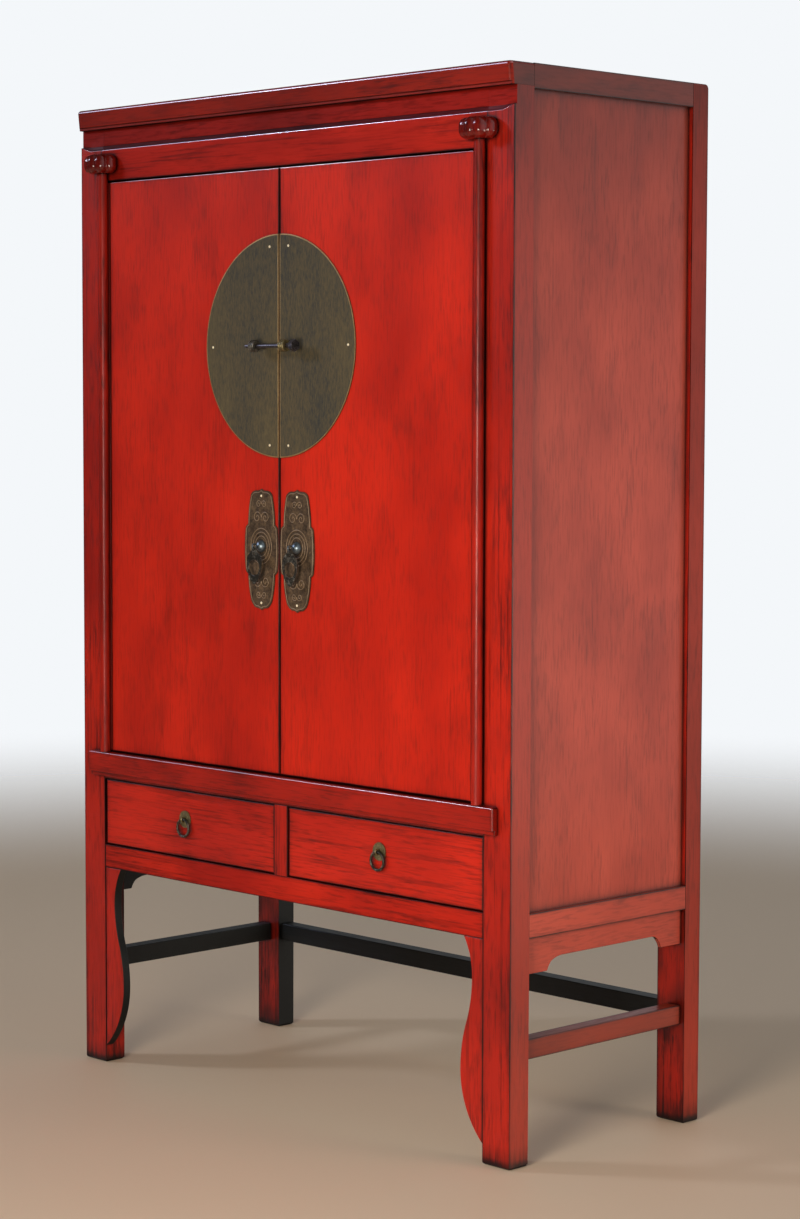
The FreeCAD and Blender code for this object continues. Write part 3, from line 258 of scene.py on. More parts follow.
def metalMaterial(name, look, wear):
    # Hand-worked metal: patches of patina, grime and painted shade in the corners, edges paled to the palest colour
    # by rubbing and a painted highlight
    material, tree = newMaterial(name)
    place = addNode(tree, "TexCoord").outputs["Object"]
    along = addNode(tree, "Mapping", {"Vector": place, "Scale": look["grain"]}).outputs["Vector"]
    patch = addNode(tree, "TexNoise", {"Vector": along, "Scale": 1000 / look["patch"], "Detail": 4.0,
                                       "Roughness": 0.6}).outputs["Fac"]
    fleck = addNode(tree, "TexNoise", {"Vector": along, "Scale": 1000 / look["fleck"], "Detail": 3.0,
                                       "Roughness": 0.7}).outputs["Fac"]
    tone = addNode(tree, "Math", {0: patch, 1: fleck}, operation="ADD").outputs[0]
    tone = addNode(tree, "MapRange", {"Value": tone, "From Min": 1.0 - 0.25 / look["contrast"],
                                      "From Max": 1.0 + 0.25 / look["contrast"]}).outputs[0]
    colour = addNode(tree, "ValToRGB", {"Fac": tone}, stops=[
        (0.0, linear(look["low"])), (0.5, linear(look["spot"])), (1.0, linear(look["high"]))]).outputs["Color"]
    # grime and painted shade in the corners
    corner = addNode(tree, "AmbientOcclusion", {"Distance": wear["grimeAndShadeReach"] * mm}, samples=8).outputs["AO"]
    corner = addNode(tree, "MapRange", {"Value": corner, "From Min": 0.95, "From Max": 0.5, "To Max": 0.9}
                     ).outputs[0]
    colour = addNode(tree, "Mix", {"Factor": corner, 6: colour, 7: linear(wear["grimeAndShade"])},
                     data_type="RGBA").outputs[2]
    # painted highlight along the edges, partly real rubbing
    edge = addNode(tree, "AmbientOcclusion", {"Distance": wear["rubbedAndLitReach"] * mm}, samples=8, inside=True,
                   only_local=True).outputs["AO"]
    edge = addNode(tree, "MapRange", {"Value": edge, "From Min": 0.85, "From Max": 0.45, "To Max": 0.75}
                   ).outputs[0]
    colour = addNode(tree, "Mix", {"Factor": edge, 6: colour, 7: linear(look["high"])},
                     data_type="RGBA").outputs[2]
    gloss = addNode(tree, "MapRange", {"Value": patch, "To Min": look["roughness"] - 0.1,
                                       "To Max": look["roughness"] + 0.12}).outputs[0]
    relief = addNode(tree, "Bump", {"Strength": 0.4, "Distance": look["relief"] * mm, "Height": tone}
                     ).outputs["Normal"]
    shader = addNode(tree, "BsdfPrincipled", {"Base Color": colour, "Metallic": look["metal"], "Roughness": gloss,
                                              "Specular IOR Level": look.get("specular", 0.5), "Normal": relief})
    addNode(tree, "OutputMaterial", {"Surface": shader.outputs[0]})
    return material


def look(base=lacquerLook, **changes):
    return dict(base, **changes)


# red of the front, the grain upright on posts and doors and level on rails
legLook = look(foot=40.0, hairs=0.6, bright="#b8220f", deep="#94170a", smoke=0.35)
railLook = look(bright="#c22612", deep="#9c180b", smoke=0.35, dashWidth=3.0, dashLength=13.0, roughness=0.5,
                coat=0.0, specular=0.15)
# painted shade: the head rail, shaded by the cornice, is a darker copy of the rail red
headLook = look(railLook, bright="#b82211", deep="#98170b", dashes=0.35, specular=0.08)
doorLook = look(bright="#cb2711", deep="#ab1c0c", smudge="#5a1108", dashes=0.38, smoke=0.3, rimLine=3.2,
                rimReach=14.0, rimShade=0.2, hairs=0.2, specular=0.18, coat=0.05)
drawerLook = look(bright="#cb2813", deep="#a61b0c", rimLine=3.2, rimReach=12.0, rimShade=0.3, smoke=0.4,
                  dashWidth=3.0, dashLength=13.0)
mouldingLook = look(bright="#b52211", deep="#8e170a", smoke=0.4, cornerReach=5.0,
                    dashWidth=3.0, dashLength=13.0, coat=0.12, rimLine=3.5)
corniceLook = look(bright="#9c2414", deep="#72160a", smudge="#300906", smoke=0.6, dashWidth=3.0,
                   dashLength=13.0, coat=0.1, rimLine=4.0, roughness=0.42, specular=0.15)
# painted shade: the frieze, in the shadow under the cornice, is painted darker
friezeShadedLook = look(bright="#9a190e", deep="#741109", smudge="#240503", rimLine=0.0, roughness=0.55, coat=0.0,
                  specular=0.08)
poleLook = look(bright="#b32111", deep="#84150a", smudge="#240503", rimLine=3.5, coat=0.05, dashes=0.6,
                specular=0.2)
# painted shade on the shoulder over the doors, which lies under the cornice; its edge is thick and glossy
slopeLook = look(bright="#5a1519", deep="#360c0f", smudge="#160607", rimLine=0.0, roughness=0.5, specular=0.1,
                 coat=0.0)
edgeLook = look(bright="#7a2026", deep="#5c161c", smudge="#200a0e", rimLine=0.0, roughness=0.3, specular=0.3,
                coat=1.0, coatRoughness=0.12, coatIor=2.5)
redEdgeLook = look(edgeLook, bright="#a02415", deep="#84180d", coatIor=2.0)
waistEdgeLook = look(redEdgeLook, coat=0.85, coatIor=1.6)
knobPaint = look(bright="#96180d", deep="#560c06", smudge="#1c0403", rimLine=0.0, cornerReach=7.0, roughness=0.4,
                 specular=0.05, coat=0.9, coatRoughness=0.03, coatWaves=0.4, hairWidth=5.0, hairLength=1.5)
# the sides keep a browner red, partly their own and partly painted shade and painted veil, and darken towards the
# top as painted shade
sideLook = look(crown=1.55, bright="#ba4a37", deep="#a23b2a", smudge="#4c1a13", glaze="#1d0c09",
                specular=0.35, coat=0.15, dashes=0.4, hairs=0.15, smoke=0.25, rimShade=0.25)
# painted shade: a darker copy of the side red for the top rails, the cornice ends and the stretchers
sideShadedLook = look(sideLook, bright="#963a28", deep="#7e2f20", smoke=0.5)
sidePostLook = look(sideLook, foot=40.0, bright="#a83725", deep="#982d1d", dashes=0.35, smoke=0.15)
rearPostLook = look(sideLook, foot=40.0, bright="#a23524", deep="#822717", hairs=0.3, specular=0.25, coat=0.0)
# painted shade: a wide darkening in the corners of the recessed panel
panelLook = look(sideLook, rimLine=0.0, cornerReach=22.0, cloudWidth=150.0, smoke=0.2, dashes=0.35)
# darkened between the legs: partly dark glaze, partly painted shade under the carcass
legBackLook = look(bright="#a21c0b", deep="#420a04", cloudWidth=110.0, smudge="#0e0302", hairs=1.0, dashes=0.8,
                   smoke=1.0, foot=45.0, coat=0.2, specular=0.15)
blackLook = look(bright="#0d0f0e", deep="#080a09", smudge="#050606", glaze="#030303", rimLine=0.0, specular=0.25,
                 coat=0.0, roughness=0.45)
backLook = look(blackLook, bright="#2b231d", deep="#1d1713", smudge="#0e0b09", smoke=0.5)
topLook = look(bright="#8c2014", deep="#64120a", rimLine=0.0)
finishes = {
    # name: grain, look
    "redPostLacquer": ("z", legLook), "redRailLacquer": ("x", railLook), "redDoorLacquer": ("z", doorLook),
    "redDrawerLacquer": ("x", drawerLook), "redMouldingLacquer": ("x", mouldingLook),
    "redCorniceLacquer": ("x", corniceLook), "redFriezeShadedLacquer": ("x", friezeShadedLook),
    "redPoleLacquer": ("z", poleLook), "redKnobLacquer": ("z", knobPaint), "redTopLacquer": ("x", topLook),
    "slopePaintedShade": ("x", slopeLook), "shoulderEdgeShadedGloss": ("x", edgeLook), "redEdgeGlaze": ("x", redEdgeLook),
    "redLegBackGlazeAndShade": ("z", legBackLook), "redWaistGlaze": ("x", waistEdgeLook),
    "sidePostLacquer": ("z", sidePostLook), "rearPostLacquer": ("z", rearPostLook),
    "sideRailLacquer": ("y", sideLook), "redHeadShadedLacquer": ("x", headLook),
    "backStain": ("z", backLook), "sidePanelLacquer": ("z", panelLook), "sideShadedLacquer": ("y", sideShadedLook),
    "blackLacquer": ("x", blackLook),
}
paint = {name: lacquerMaterial(name, grain, chosen) for name, (grain, chosen) in finishes.items()}
elm = {grain: elmMaterial("bareElm" + grain.upper(), grain, elmLook) for grain in "xyz"}
metals = {name: metalMaterial(name, chosen, metalWear) for name, chosen in metalLooks.items()}
print("materials made:", len(bpy.data.materials))


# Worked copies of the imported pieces: merged, edges eased, then finished

mergeReach = 0.004  # mm, points nearer than this are one
flatTurn = 0.4  # degrees, faces that turn less than this against each other are one
smoothTurn = 32  # degrees, edges that turn less than this are shaded smooth


def easeEdges(piece, width, steps, sharp, wanted):
    # rounds the edges that turn by more than sharp degrees and that wanted(end, otherEnd) takes
    pick(piece)
    bpy.context.tool_settings.mesh_select_mode = (False, True, False)
    bpy.ops.object.mode_set(mode="EDIT")
    bpy.ops.mesh.select_all(action="DESELECT")
    bpy.ops.mesh.edges_select_sharp(sharpness=math.radians(sharp))
    bpy.ops.object.mode_set(mode="OBJECT")
    points = piece.data.vertices
    for edge in piece.data.edges:
        if edge.select and not wanted(*(points[v].co for v in edge.vertices)):
            edge.select = False
    bpy.ops.object.mode_set(mode="EDIT")
    bpy.ops.mesh.bevel(offset=width * mm, segments=steps, affect="EDGES", clamp_overlap=True)
    bpy.ops.mesh.select_all(action="DESELECT")
    bpy.ops.object.mode_set(mode="OBJECT")


def cutAcross(piece, cuts):
    # rings of edges all round the piece; cuts are (axis, place in m)
    pick(piece)
    bpy.ops.object.mode_set(mode="EDIT")
    for axis, place in cuts:
        across = [float(axis == a) for a in range(3)]
        bpy.ops.mesh.select_all(action="SELECT")
        bpy.ops.mesh.bisect(plane_co=[place * a for a in across], plane_no=across)
    bpy.ops.mesh.select_all(action="DESELECT")
    bpy.ops.object.mode_set(mode="OBJECT")


def mergedCopy(node):
    # a new object with the node's mesh, its doubles merged
    piece = bpy.data.objects.new(node + "_finished", cadNodes[node].data.copy())
    bpy.context.scene.collection.objects.link(piece)
    pick(piece)
    bpy.context.tool_settings.mesh_select_mode = (False, True, False)
    bpy.ops.object.mode_set(mode="EDIT")
    bpy.ops.mesh.select_all(action="SELECT")
    bpy.ops.mesh.remove_doubles(threshold=mergeReach * mm)
    bpy.ops.mesh.dissolve_limited(angle_limit=math.radians(flatTurn))
    bpy.ops.mesh.select_all(action="DESELECT")
    bpy.ops.object.mode_set(mode="OBJECT")
    return piece


def shadeFlat(piece):
    # curved faces are shaded smooth, and large faces stay flat beside their roundings
    pick(piece)
    bpy.ops.object.shade_smooth_by_angle(angle=math.radians(smoothTurn))
    flat = piece.modifiers.new("flatFaces", "WEIGHTED_NORMAL")
    flat.keep_sharp = True
    flat.weight = 80
    bpy.ops.object.modifier_apply(modifier=flat.name)


def reshape(piece, ease, keepOff=(), sharp=25.0, steps=3):
    # ease is in mm; an edge that lies all in one of the keepOff planes, (axis, place in m) and where it
    # holds only higher up also the height, stays sharp, because another piece meets it flush there
    if ease:
        easeEdges(piece, ease, steps, sharp, lambda *ends: not any(
            all(abs(end[plane[0]] - plane[1]) < 0.05 * mm and end.z > (plane[2:] or [-1.0])[0] - 0.05 * mm
                for end in ends) for plane in keepOff))
    shadeFlat(piece)
    return piece


def markRims(piece, openEnds=""):
    # how far each corner of a face lies in mm from the rims of its own side of the piece, for the shader;
    # openEnds names the ends, such as "+y", that go on in another piece and show no rim
    mesh = piece.data
    low = [min(v.co[a] for v in mesh.vertices) for a in range(3)]
    high = [max(v.co[a] for v in mesh.vertices) for a in range(3)]
    near = mesh.attributes.new("rimNear", "FLOAT_VECTOR", "CORNER")
    far = mesh.attributes.new("rimFar", "FLOAT_VECTOR", "CORNER")
    noRim = 999.0
    for face in mesh.polygons:
        across = max(range(3), key=lambda a: abs(face.normal[a]))
        for loop in face.loop_indices:
            point = mesh.vertices[mesh.loops[loop].vertex_index].co
            for ends, marks, sign in ((low, near, "-"), (high, far, "+")):
                marks.data[loop].vector = [
                    noRim if a == across or sign + "xyz"[a] in openEnds else abs(point[a] - ends[a]) / mm
                    for a in range(3)]


def recolour(piece, material, chosen):
    # another finish on the faces that chosen(normal, centre) picks
    piece.data.materials.append(material)
    index = len(piece.data.materials) - 1
    for face in piece.data.polygons:
        if chosen(face.normal, face.center):
            face.material_index = index


def settle(piece, node, material):
    dress(piece, material)
    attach(piece, bodyOf[node])
    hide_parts(node)
    return piece


def sides(*names):
    return [side + "_" + name for name in names for side in ("left", "right")]


footLook = {"radius": 7.0, "rings": (0.8, 1.8, 3.0, 4.6)}  # mm


def wornFoot(piece, look):
    # the feet are rubbed round at the floor: each ring of points near it is drawn in on a quarter round
    radius = look["radius"] * mm
    points = piece.data.vertices
    middle = [(min(v.co[a] for v in points) + max(v.co[a] for v in points)) / 2 for a in range(2)]
    half = [(max(v.co[a] for v in points) - min(v.co[a] for v in points)) / 2 for a in range(2)]
    levels = {round(v.co.z, 5) for v in points if v.co.z < radius}
    for level in levels:
        ring = [v for v in points if abs(v.co.z - level) < 0.01 * mm]
        drawnIn = radius - math.sqrt(radius ** 2 - (radius - level) ** 2)
        for a in range(2):
            reach = max(abs(v.co[a] - middle[a]) for v in ring)
            for v in ring:
                v.co[a] = middle[a] + (v.co[a] - middle[a]) * (half[a] - drawnIn) / reach


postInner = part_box("front_right_post")[0].x
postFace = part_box("front_right_post")[0].y
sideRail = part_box("right_side_top_rail")
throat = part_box("front_right_post")[1].z
shoulderLevel = throat - 75 * mm  # the shoulder lies above this
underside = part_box("bottom_front_rail")[0].z
doorTop, slopeTop = (corner.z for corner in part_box("door_head_rail"))
endPlanes = [(0, -postInner), (0, postInner)]
depthPlanes = [(1, sideRail[0].y), (1, sideRail[1].y)]
outerPlanes = [(0, sideRail[1].x), (0, -sideRail[1].x)]
posts = ["front_left_post", "front_right_post", "rear_left_post", "rear_right_post"]

workedWood = [
    # nodes, finish, rounding in mm, planes that stay sharp, ends that show no rim
    (posts[:2], "redPostLacquer", 1.2,
     depthPlanes + [(2, throat), (2, slopeTop)] + [plane + (doorTop,) for plane in endPlanes], "+y-z+z"),
    (posts[2:], "redPostLacquer", 1.2, depthPlanes, "-y-z+z"),
    (["cornice_moulding"], "redCorniceLacquer", 1.5, outerPlanes + depthPlanes + [(2, throat)], "+y-z"),
    (["door_head_rail"], "redHeadShadedLacquer", 1.2, endPlanes, "-x+x+z"),
    (["bottom_front_rail"], "redRailLacquer", 1.2, endPlanes, ""),
    (["frieze_board"], "redFriezeShadedLacquer", 0.8, endPlanes, "-x+x"),
    (["waist_rail"], "redMouldingLacquer", 1.0, [], ""),
    (["drawer_mullion"], "redPostLacquer", 0.8, [], "-z+z"),
    (["left_leg_wing"], "redPostLacquer", 1.5, endPlanes, "+x-z+z"),
    (["right_leg_wing"], "redPostLacquer", 1.5, endPlanes, "-x-z+z"),
    (sides("side_stretcher"), "sideShadedLacquer", 1.5, depthPlanes, "-y+y"),
    (sides("side_top_rail"), "sideShadedLacquer", 1.2, depthPlanes, "-y+y"),
    (sides("side_bottom_rail"), "sideRailLacquer", 1.2, depthPlanes, "-y+y"),
    (sides("side_apron"), "sideRailLacquer", 1.2, depthPlanes, "-y+y-z"),
    (sides("side_panel"), "sidePanelLacquer", 0, [], ""),
    (["rear_stretcher"], "blackLacquer", 1.5, endPlanes, ""),
    (sides("door_leaf"), "redDoorLacquer", 1.2, [], ""),
    (sides("pivot_stile"), "redPoleLacquer", 0.8, [], "-z+z"),
    (sides("drawer_front"), "redDrawerLacquer", 1.2, [], ""),
]
shoulderRound = 2.4  # mm, the thick glaze along the lower edge of the shoulder
shoulderEnd = sideRail[1].x - 12 * mm  # it runs out before the corner, where the slope gets too narrow
wood = {}
for names, finish, ease, keepOff, openEnds in workedWood:
    for node in names:
        piece = mergedCopy(node)
        if node in posts:
            cutAcross(piece, [(2, underside), (2, doorTop), (0, shoulderEnd), (0, -shoulderEnd)])
        if node in posts[:2] + ["door_head_rail"]:
            easeEdges(piece, shoulderRound, 4, 20.0, lambda a, b: min(a.z, b.z) > shoulderLevel
                      and max(a.y, b.y) < postFace + 0.5 * mm and abs(a.x - b.x) > 0.3 * abs(a.z - b.z)
                      and max(abs(a.x), abs(b.x)) < shoulderEnd + 0.05 * mm)
        # on the posts the turns of the rounded shoulder stay as they are
        reshape(piece, ease, keepOff, sharp=35.0 if node in posts else 25.0)
        if node in posts:
            cutAcross(piece, [(2, level * mm) for level in footLook["rings"]])
            wornFoot(piece, footLook)
            shadeFlat(piece)
        wood[node] = settle(piece, node, paint[finish])
        markRims(wood[node], openEnds)


# inner faces, black in paint, and undersides, where the black is painted shade
def inward(normal, centre):
    return normal.x * centre.x < -0.3 * abs(centre.x) or normal.z < -0.7


def outward(normal, centre):
    return normal.x * centre.x > 0.8 * abs(centre.x)


# other finishes on some faces: painted shade on the shoulder and the post tops under the cornice, browner red on
# the sides (partly painted shade), black inside the legs, painted shade under the rails
for node in posts[:2] + ["door_head_rail"]:
    for finish, least, most in (("shoulderEdgeShadedGloss", -0.995, -0.9), ("slopePaintedShade", -0.9, -0.2)):
        recolour(wood[node], paint[finish], lambda n, c: least < n.y <= most and n.z > 0.04
                 and c.z > shoulderLevel and c.y < postFace + 6 * mm)
for node in posts:
    recolour(wood[node], paint["sidePostLacquer" if node in posts[:2] else "rearPostLacquer"], outward)
for node in posts[:2]:
    recolour(wood[node], paint["redLegBackGlazeAndShade"], inward)
    # painted shade: the recessed face of the post above the shoulder takes the frieze's darker red
    recolour(wood[node], paint["redFriezeShadedLacquer"],
             lambda n, c: n.y < -0.995 and c.z > shoulderLevel and c.y > postFace + 2 * mm)
for node in posts[2:]:
    recolour(wood[node], paint["redLegBackGlazeAndShade"], lambda n, c: n.y < -0.5 and c.z < underside)
    recolour(wood[node], paint["blackLacquer"], inward)
for node in sides("leg_wing", "side_stretcher", "side_apron"):
    recolour(wood[node], paint["blackLacquer"], inward)
# painted shade: the top of the left stretcher, in the shade under the carcass, is black
recolour(wood["left_side_stretcher"], paint["blackLacquer"], lambda n, c: n.z > 0.7)
# painted shade: the undersides of the rails are black
for node in ("door_head_rail", "waist_rail", "bottom_front_rail"):
    recolour(wood[node], paint["blackLacquer"], lambda n, c: n.z < -0.9)
# painted shade: the cornice ends take the darker copy of the side red, and its underside is black
recolour(wood["cornice_moulding"], paint["sideShadedLacquer"], lambda n, c: abs(n.x) > 0.95)
recolour(wood["cornice_moulding"], paint["blackLacquer"], lambda n, c: n.z < -0.9)

glossReach = 8  # mm down from the top of a piece


def topRounding(node):
    # picks the rounding along the top of a piece's front, glossy where the brush left more lacquer
    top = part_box(node)[1].z
    return lambda n, c: n.y < -0.2 and 0.15 < n.z < 0.97 and c.z > top - glossReach * mm


for node in ["cornice_moulding"] + sides("door_leaf"):
    recolour(wood[node], paint["redEdgeGlaze"], topRounding(node))
onWaistTop = topRounding("waist_rail")
recolour(wood["waist_rail"], paint["redWaistGlaze"],
         lambda n, c: onWaistTop(n, c) or n.y < -0.2 and 0.2 < abs(n.x) < 0.95)
print("lacquered pieces finished:", len(wood))


knobLook = {"voxel": 0.9, "softening": 2}  # mm, rounds of smoothing


def pivotKnob(node, look):
    # the five lobes run into each other softly under thick lacquer
    piece = mergedCopy(node)
    for kind, settings in (("REMESH", {"mode": "VOXEL", "voxel_size": look["voxel"] * mm}),
                           ("SMOOTH", {"factor": 0.5, "iterations": look["softening"]})):
        modifier = piece.modifiers.new(kind.lower(), kind)
        for key, value in settings.items():
            setattr(modifier, key, value)
        pick(piece)
        bpy.ops.object.modifier_apply(modifier=modifier.name)
    bpy.ops.object.shade_smooth()
    return piece


for node in sides("pivot_block"):
    settle(pivotKnob(node, knobLook), node, paint["redKnobLacquer"])
print("pivot blocks finished")


def selectFront(piece, wanted):
    # in edit mode: selects the faces that look to the front and that wanted(centre) takes
    pick(piece)
    bpy.context.tool_settings.mesh_select_mode = (False, False, True)
    bpy.ops.object.mode_set(mode="EDIT")
    bpy.ops.mesh.select_all(action="DESELECT")
    bpy.ops.object.mode_set(mode="OBJECT")
    for face in piece.data.polygons:
        face.select = face.normal.y < -0.99 and wanted(face.center)
    bpy.ops.object.mode_set(mode="EDIT")


lockPlateLook = {"rim": 1.7, "ease": 0.4}  # mm


def lockPlate(node, look):
    # thin sheet with its filed rim left bright all round
    piece = mergedCopy(node)
    easeEdges(piece, look["ease"], 2, 40.0, lambda *ends: True)
    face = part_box(node)[0].y
    selectFront(piece, lambda c: abs(c.y - face) < 0.1 * mm)
    bpy.ops.mesh.inset(thickness=look["rim"] * mm, depth=0.0)
    bpy.ops.object.mode_set(mode="OBJECT")
    inner = {face.index for face in piece.data.polygons if face.select}
    settle(piece, node, metals["rimBrass"])
    piece.data.materials.append(metals["plateBronze"])
    for face in piece.data.polygons:
        face.material_index = int(face.index in inner)
    shadeFlat(piece)


for node in sides("lock_plate"):
    lockPlate(node, lockPlateLook)


pullPlateLook = {
    # mm: raised wires: border line, rings round the boss and scrolls, (across, up, reach), over and under them
    "ease": 0.4, "border": 3.6, "wire": 0.9, "rings": (16.0, 22.0, 28.0), "ringStretch": 1.15, "ringStep": 8,
    "scrolls": ((0.0, 58.0, 11.0), (0.0, -58.0, 11.0), (0.0, 82.0, 7.0), (0.0, -82.0, 7.0)), "turns": 1.5,
    "scrollPoints": 40, "wind": 0.85,  # a scroll winds in by this share of its reach
}


def wireOn(piece, points, wire):
    # a round wire through the points, half sunk in the sheet, joined to the piece
    curve = bpy.data.curves.new("wire", "CURVE")
    curve.dimensions, curve.bevel_depth, curve.bevel_resolution, curve.use_fill_caps = "3D", wire * mm, 1, True
    spline = curve.splines.new("POLY")
    spline.points.add(len(points) - 1)
    for spot, place in zip(spline.points, points):
        spot.co = (*place, 1.0)
    obj = bpy.data.objects.new("wire", curve)
    bpy.context.scene.collection.objects.link(obj)
    pick(obj)
    bpy.ops.object.convert(target="MESH")
    dress(obj, metals["wireBronze"])
    piece.select_set(True)
    bpy.context.view_layer.objects.active = piece
    bpy.ops.object.join()


def pullPlate(node, look):
    # engraved sheet: a line inside the outline, rings round the boss and scrolls over and under them
    low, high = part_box(node)
    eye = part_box(node.replace("plate", "boss"))
    centreX, centreZ, eyeZ = (low.x + high.x) / 2, (low.z + high.z) / 2, (eye[0].z + eye[1].z) / 2
    piece = mergedCopy(node)
    front = max((face for face in piece.data.polygons if face.normal.y < -0.99), key=lambda face: face.area)
    inX, inZ = (1 - look["border"] * mm / (high[a] - low[a]) * 2 for a in (0, 2))
    outline = [piece.data.vertices[v].co for v in front.vertices]
    outline = [((point.x - centreX) * inX / mm, 0.0, (point.z - centreZ) * inZ / mm) for point in outline]
    easeEdges(piece, look["ease"], 2, 40.0, lambda *ends: True)
    settle(piece, node, metals["pullBronze"])
    turn = [math.radians(a) for a in range(0, 361, look["ringStep"])]
    lines = [[(radius * math.cos(a), eyeZ - centreZ, radius * look["ringStretch"] * math.sin(a)) for a in turn]
             for radius in look["rings"]] + [outline + outline[:1]]
    for across, up, reach in look["scrolls"]:
        for way in (-1, 1):
            line = []
            for step in range(look["scrollPoints"]):
                share = step / (look["scrollPoints"] - 1)
                angle = share * look["turns"] * 2 * math.pi
                radius = reach * (1 - look["wind"] * share)
                line.append((across + way * (reach - radius * math.cos(angle)), up * mm,
                             math.copysign(radius, up) * math.sin(angle)))
            lines.append(line)
    for line in lines:
        wireOn(piece, [(centreX + x * mm, low.y, centreZ + base + z * mm) for x, base, z in line], look["wire"])
    shadeFlat(piece)


for node in sides("pull_plate"):
    pullPlate(node, pullPlateLook)
print("lock and pull plates finished")

workedMetal = [
    # nodes, metal, rounding in mm
    (sides("leaf_pull"), "darkIron", 0.6),
    (["lock_pin"], "pinSteel", 0.5),
    (["left_lock_staple"], "wornSteel", 0.3),
    (["right_lock_staple"], "agedBrass", 0.3),
]
for names, metal, ease in workedMetal:
    for node in names:
        settle(reshape(mergedCopy(node), ease, sharp=40.0, steps=2), node, metals[metal])
for node in sides("ring_plate"):  # cast brass on a bright rim that lies on the wood
    piece = settle(reshape(mergedCopy(node), 0.5, sharp=40.0, steps=2), node, metals["agedBrass"])
    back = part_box(node)[1].y
    recolour(piece, metals["rimBrass"], lambda n, c: n.y > -0.95 and c.y > back - 2 * mm)
print("metal pieces finished")

for node in sides("drawer_box"):  # the grain runs along each board, so across in its back
    box = settle(reshape(mergedCopy(node), 0.5), node, elm["y"])
    recolour(box, elm["x"], lambda n, c: abs(n.y) > 0.5)
print("drawer boxes finished")

plainParts = {
    "rear_rails": paint["blackLacquer"], "back_panel": paint["backStain"], "top_board": paint["redTopLacquer"],
    "cupboard_floor": elm["x"], "cupboard_shelf": elm["x"], "shelf_cleats": elm["y"],
    "drawer_runners": elm["y"], "bottom_board": elm["x"],
}
for side in ("left_", "right_"):
    plainParts.update({
        side + "door_battens": elm["x"], side + "pull_boss": metals["blueSteel"],
        side + "drawer_ring": metals["darkIron"], side + "door_nails": metals["nailBrass"],
    })
for node, material in plainParts.items():
    dress(cadNodes[node], material)
print("plain parts coloured:", len(plainParts))


# Stage, lamps and camera

stageLook = {
    # distances in m; reflections see a dim world in front, a pale one behind and a bluish window at the left
    "floor": "#edd5b9", "fadeStart": 2.4, "fadeEnd": 6.0, "radius": 6.5, "corners": 96,
    "backdrop": "#f4f7fa", "ambient": 0.22, "frontLevel": 0.03, "backLevel": 0.95, "levelEdge": (-0.6, 0.9),
    "window": (-0.716, -0.564, 0.41), "windowEdge": (0.972, 0.99), "windowLevel": 7.0,
    "windowColour": "#cfd8ff",
}


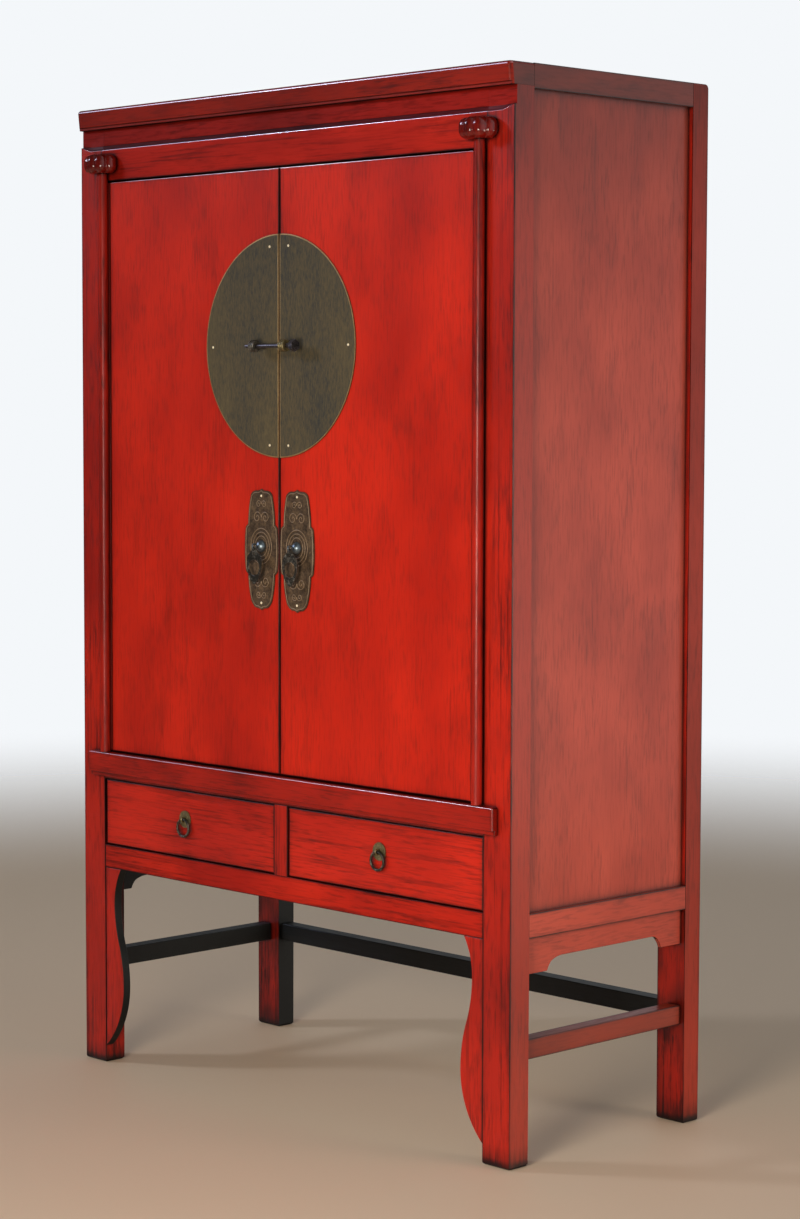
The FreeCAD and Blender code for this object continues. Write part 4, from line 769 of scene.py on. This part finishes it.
def makeStage(look):
    deselectAll()
    bpy.ops.mesh.primitive_circle_add(vertices=look["corners"], radius=look["radius"], fill_type="NGON")
    floor = bpy.context.object
    floor.name = "floor"
    material, tree = newMaterial("paleFloor")
    place = addNode(tree, "TexCoord").outputs["Object"]
    distance = addNode(tree, "VectorMath", {0: place}, operation="LENGTH").outputs["Value"]
    fade = addNode(tree, "MapRange", {"Value": distance, "From Min": look["fadeStart"],
                                      "From Max": look["fadeEnd"]}, interpolation_type="SMOOTHSTEP").outputs[0]
    solid = addNode(tree, "BsdfPrincipled", {"Base Color": linear(look["floor"]), "Roughness": 0.6})
    clear = addNode(tree, "BsdfTransparent")
    both = addNode(tree, "MixShader", {0: fade, 1: solid.outputs[0], 2: clear.outputs[0]})
    addNode(tree, "OutputMaterial", {"Surface": both.outputs[0]})
    dress(floor, material)
    world = bpy.data.worlds.new("studio")
    bpy.context.scene.world = world
    world.use_nodes = True
    tree = world.node_tree
    tree.nodes.clear()
    path = addNode(tree, "LightPath")
    glance = addNode(tree, "TexCoord").outputs["Generated"]
    facing = addNode(tree, "SeparateXYZ", {"Vector": glance})
    rearward = addNode(tree, "Math", {0: facing.outputs["X"], 1: facing.outputs["Y"]}, operation="ADD").outputs[0]
    level = addNode(tree, "MapRange", {
        "Value": rearward, "From Min": look["levelEdge"][0], "From Max": look["levelEdge"][1],
        "To Min": look["frontLevel"], "To Max": look["backLevel"]}, interpolation_type="SMOOTHSTEP").outputs[0]
    window = addNode(tree, "VectorMath", {0: glance, 1: look["window"]}, operation="DOT_PRODUCT").outputs["Value"]
    window = addNode(tree, "MapRange", {"Value": window, "From Min": look["windowEdge"][0],
                                        "From Max": look["windowEdge"][1], "To Max": look["windowLevel"]},
                     interpolation_type="SMOOTHSTEP").outputs[0]
    colour = addNode(tree, "Mix", {"Factor": window, 6: linear(look["backdrop"]), 7: linear(look["windowColour"])},
                     data_type="RGBA").outputs[2]
    level = addNode(tree, "Math", {0: level, 1: window}, operation="MAXIMUM").outputs[0]
    level = addNode(tree, "Mix", {0: path.outputs["Is Glossy Ray"], 2: look["ambient"], 3: level}).outputs[0]
    level = addNode(tree, "Mix", {0: path.outputs["Is Camera Ray"], 2: level, 3: 1.0}).outputs[0]
    colour = addNode(tree, "Mix", {"Factor": path.outputs["Is Glossy Ray"], 6: linear(look["backdrop"]), 7: colour},
                     data_type="RGBA").outputs[2]
    glow = addNode(tree, "Background", {"Color": colour, "Strength": level})
    addNode(tree, "OutputWorld", {"Surface": glow.outputs[0]})


lamps = {
    # name: place in m, where it points, size in m, spread in degrees, watts, hex colour
    "windowLamp": ((-4.3, -3.8, 3.8), (0.0, 0.0, 1.0), 0.8, 180.0, 70.0, "#e9f1ff"),
    "frontLamp": ((1.5, -3.0, 1.0), (0.4, -0.25, 0.75), 1.2, 90.0, 21.0, "#fff3e4"),
    "sideLamp": ((4.2, 1.2, 0.4), (0.55, 0.0, 0.45), 1.5, 100.0, 20.0, "#fff0de"),
}


def makeLamps():
    for name, (place, aim, size, spread, watts, colour) in lamps.items():
        light = bpy.data.lights.new(name, "AREA")
        light.shape, light.size, light.energy, light.color = "DISK", size, watts, linear(colour)[:3]
        light.spread = math.radians(spread)
        lamp = bpy.data.objects.new(name, light)
        lamp.location = place
        lamp.rotation_euler = (Vector(aim) - Vector(place)).to_track_quat("-Z", "Y").to_euler()
        lamp.visible_camera = False
        bpy.context.scene.collection.objects.link(lamp)


cameraPlace = {"place": (3.75695, -3.5833, 1.28035), "azimuth": 45.77, "elevation": 4.14, "roll": 0.152,
               "lens": 82.73}


def makeCamera(look):
    camera = bpy.data.objects.new("camera", bpy.data.cameras.new("camera"))
    camera.data.sensor_width, camera.data.lens = 36.0, look["lens"]
    camera.data.clip_start, camera.data.clip_end = 0.1, 100.0
    turn = (Matrix.Rotation(math.radians(look["azimuth"]), 4, "Z")
            @ Matrix.Rotation(math.radians(90 - look["elevation"]), 4, "X")
            @ Matrix.Rotation(math.radians(look["roll"]), 4, "Z"))
    camera.matrix_world = Matrix.Translation(look["place"]) @ turn
    bpy.context.scene.collection.objects.link(camera)
    bpy.context.scene.camera = camera


makeStage(stageLook)
makeLamps()
makeCamera(cameraPlace)
bpy.context.scene.view_settings.view_transform = "Standard"
print("stage, lamps and camera ready")
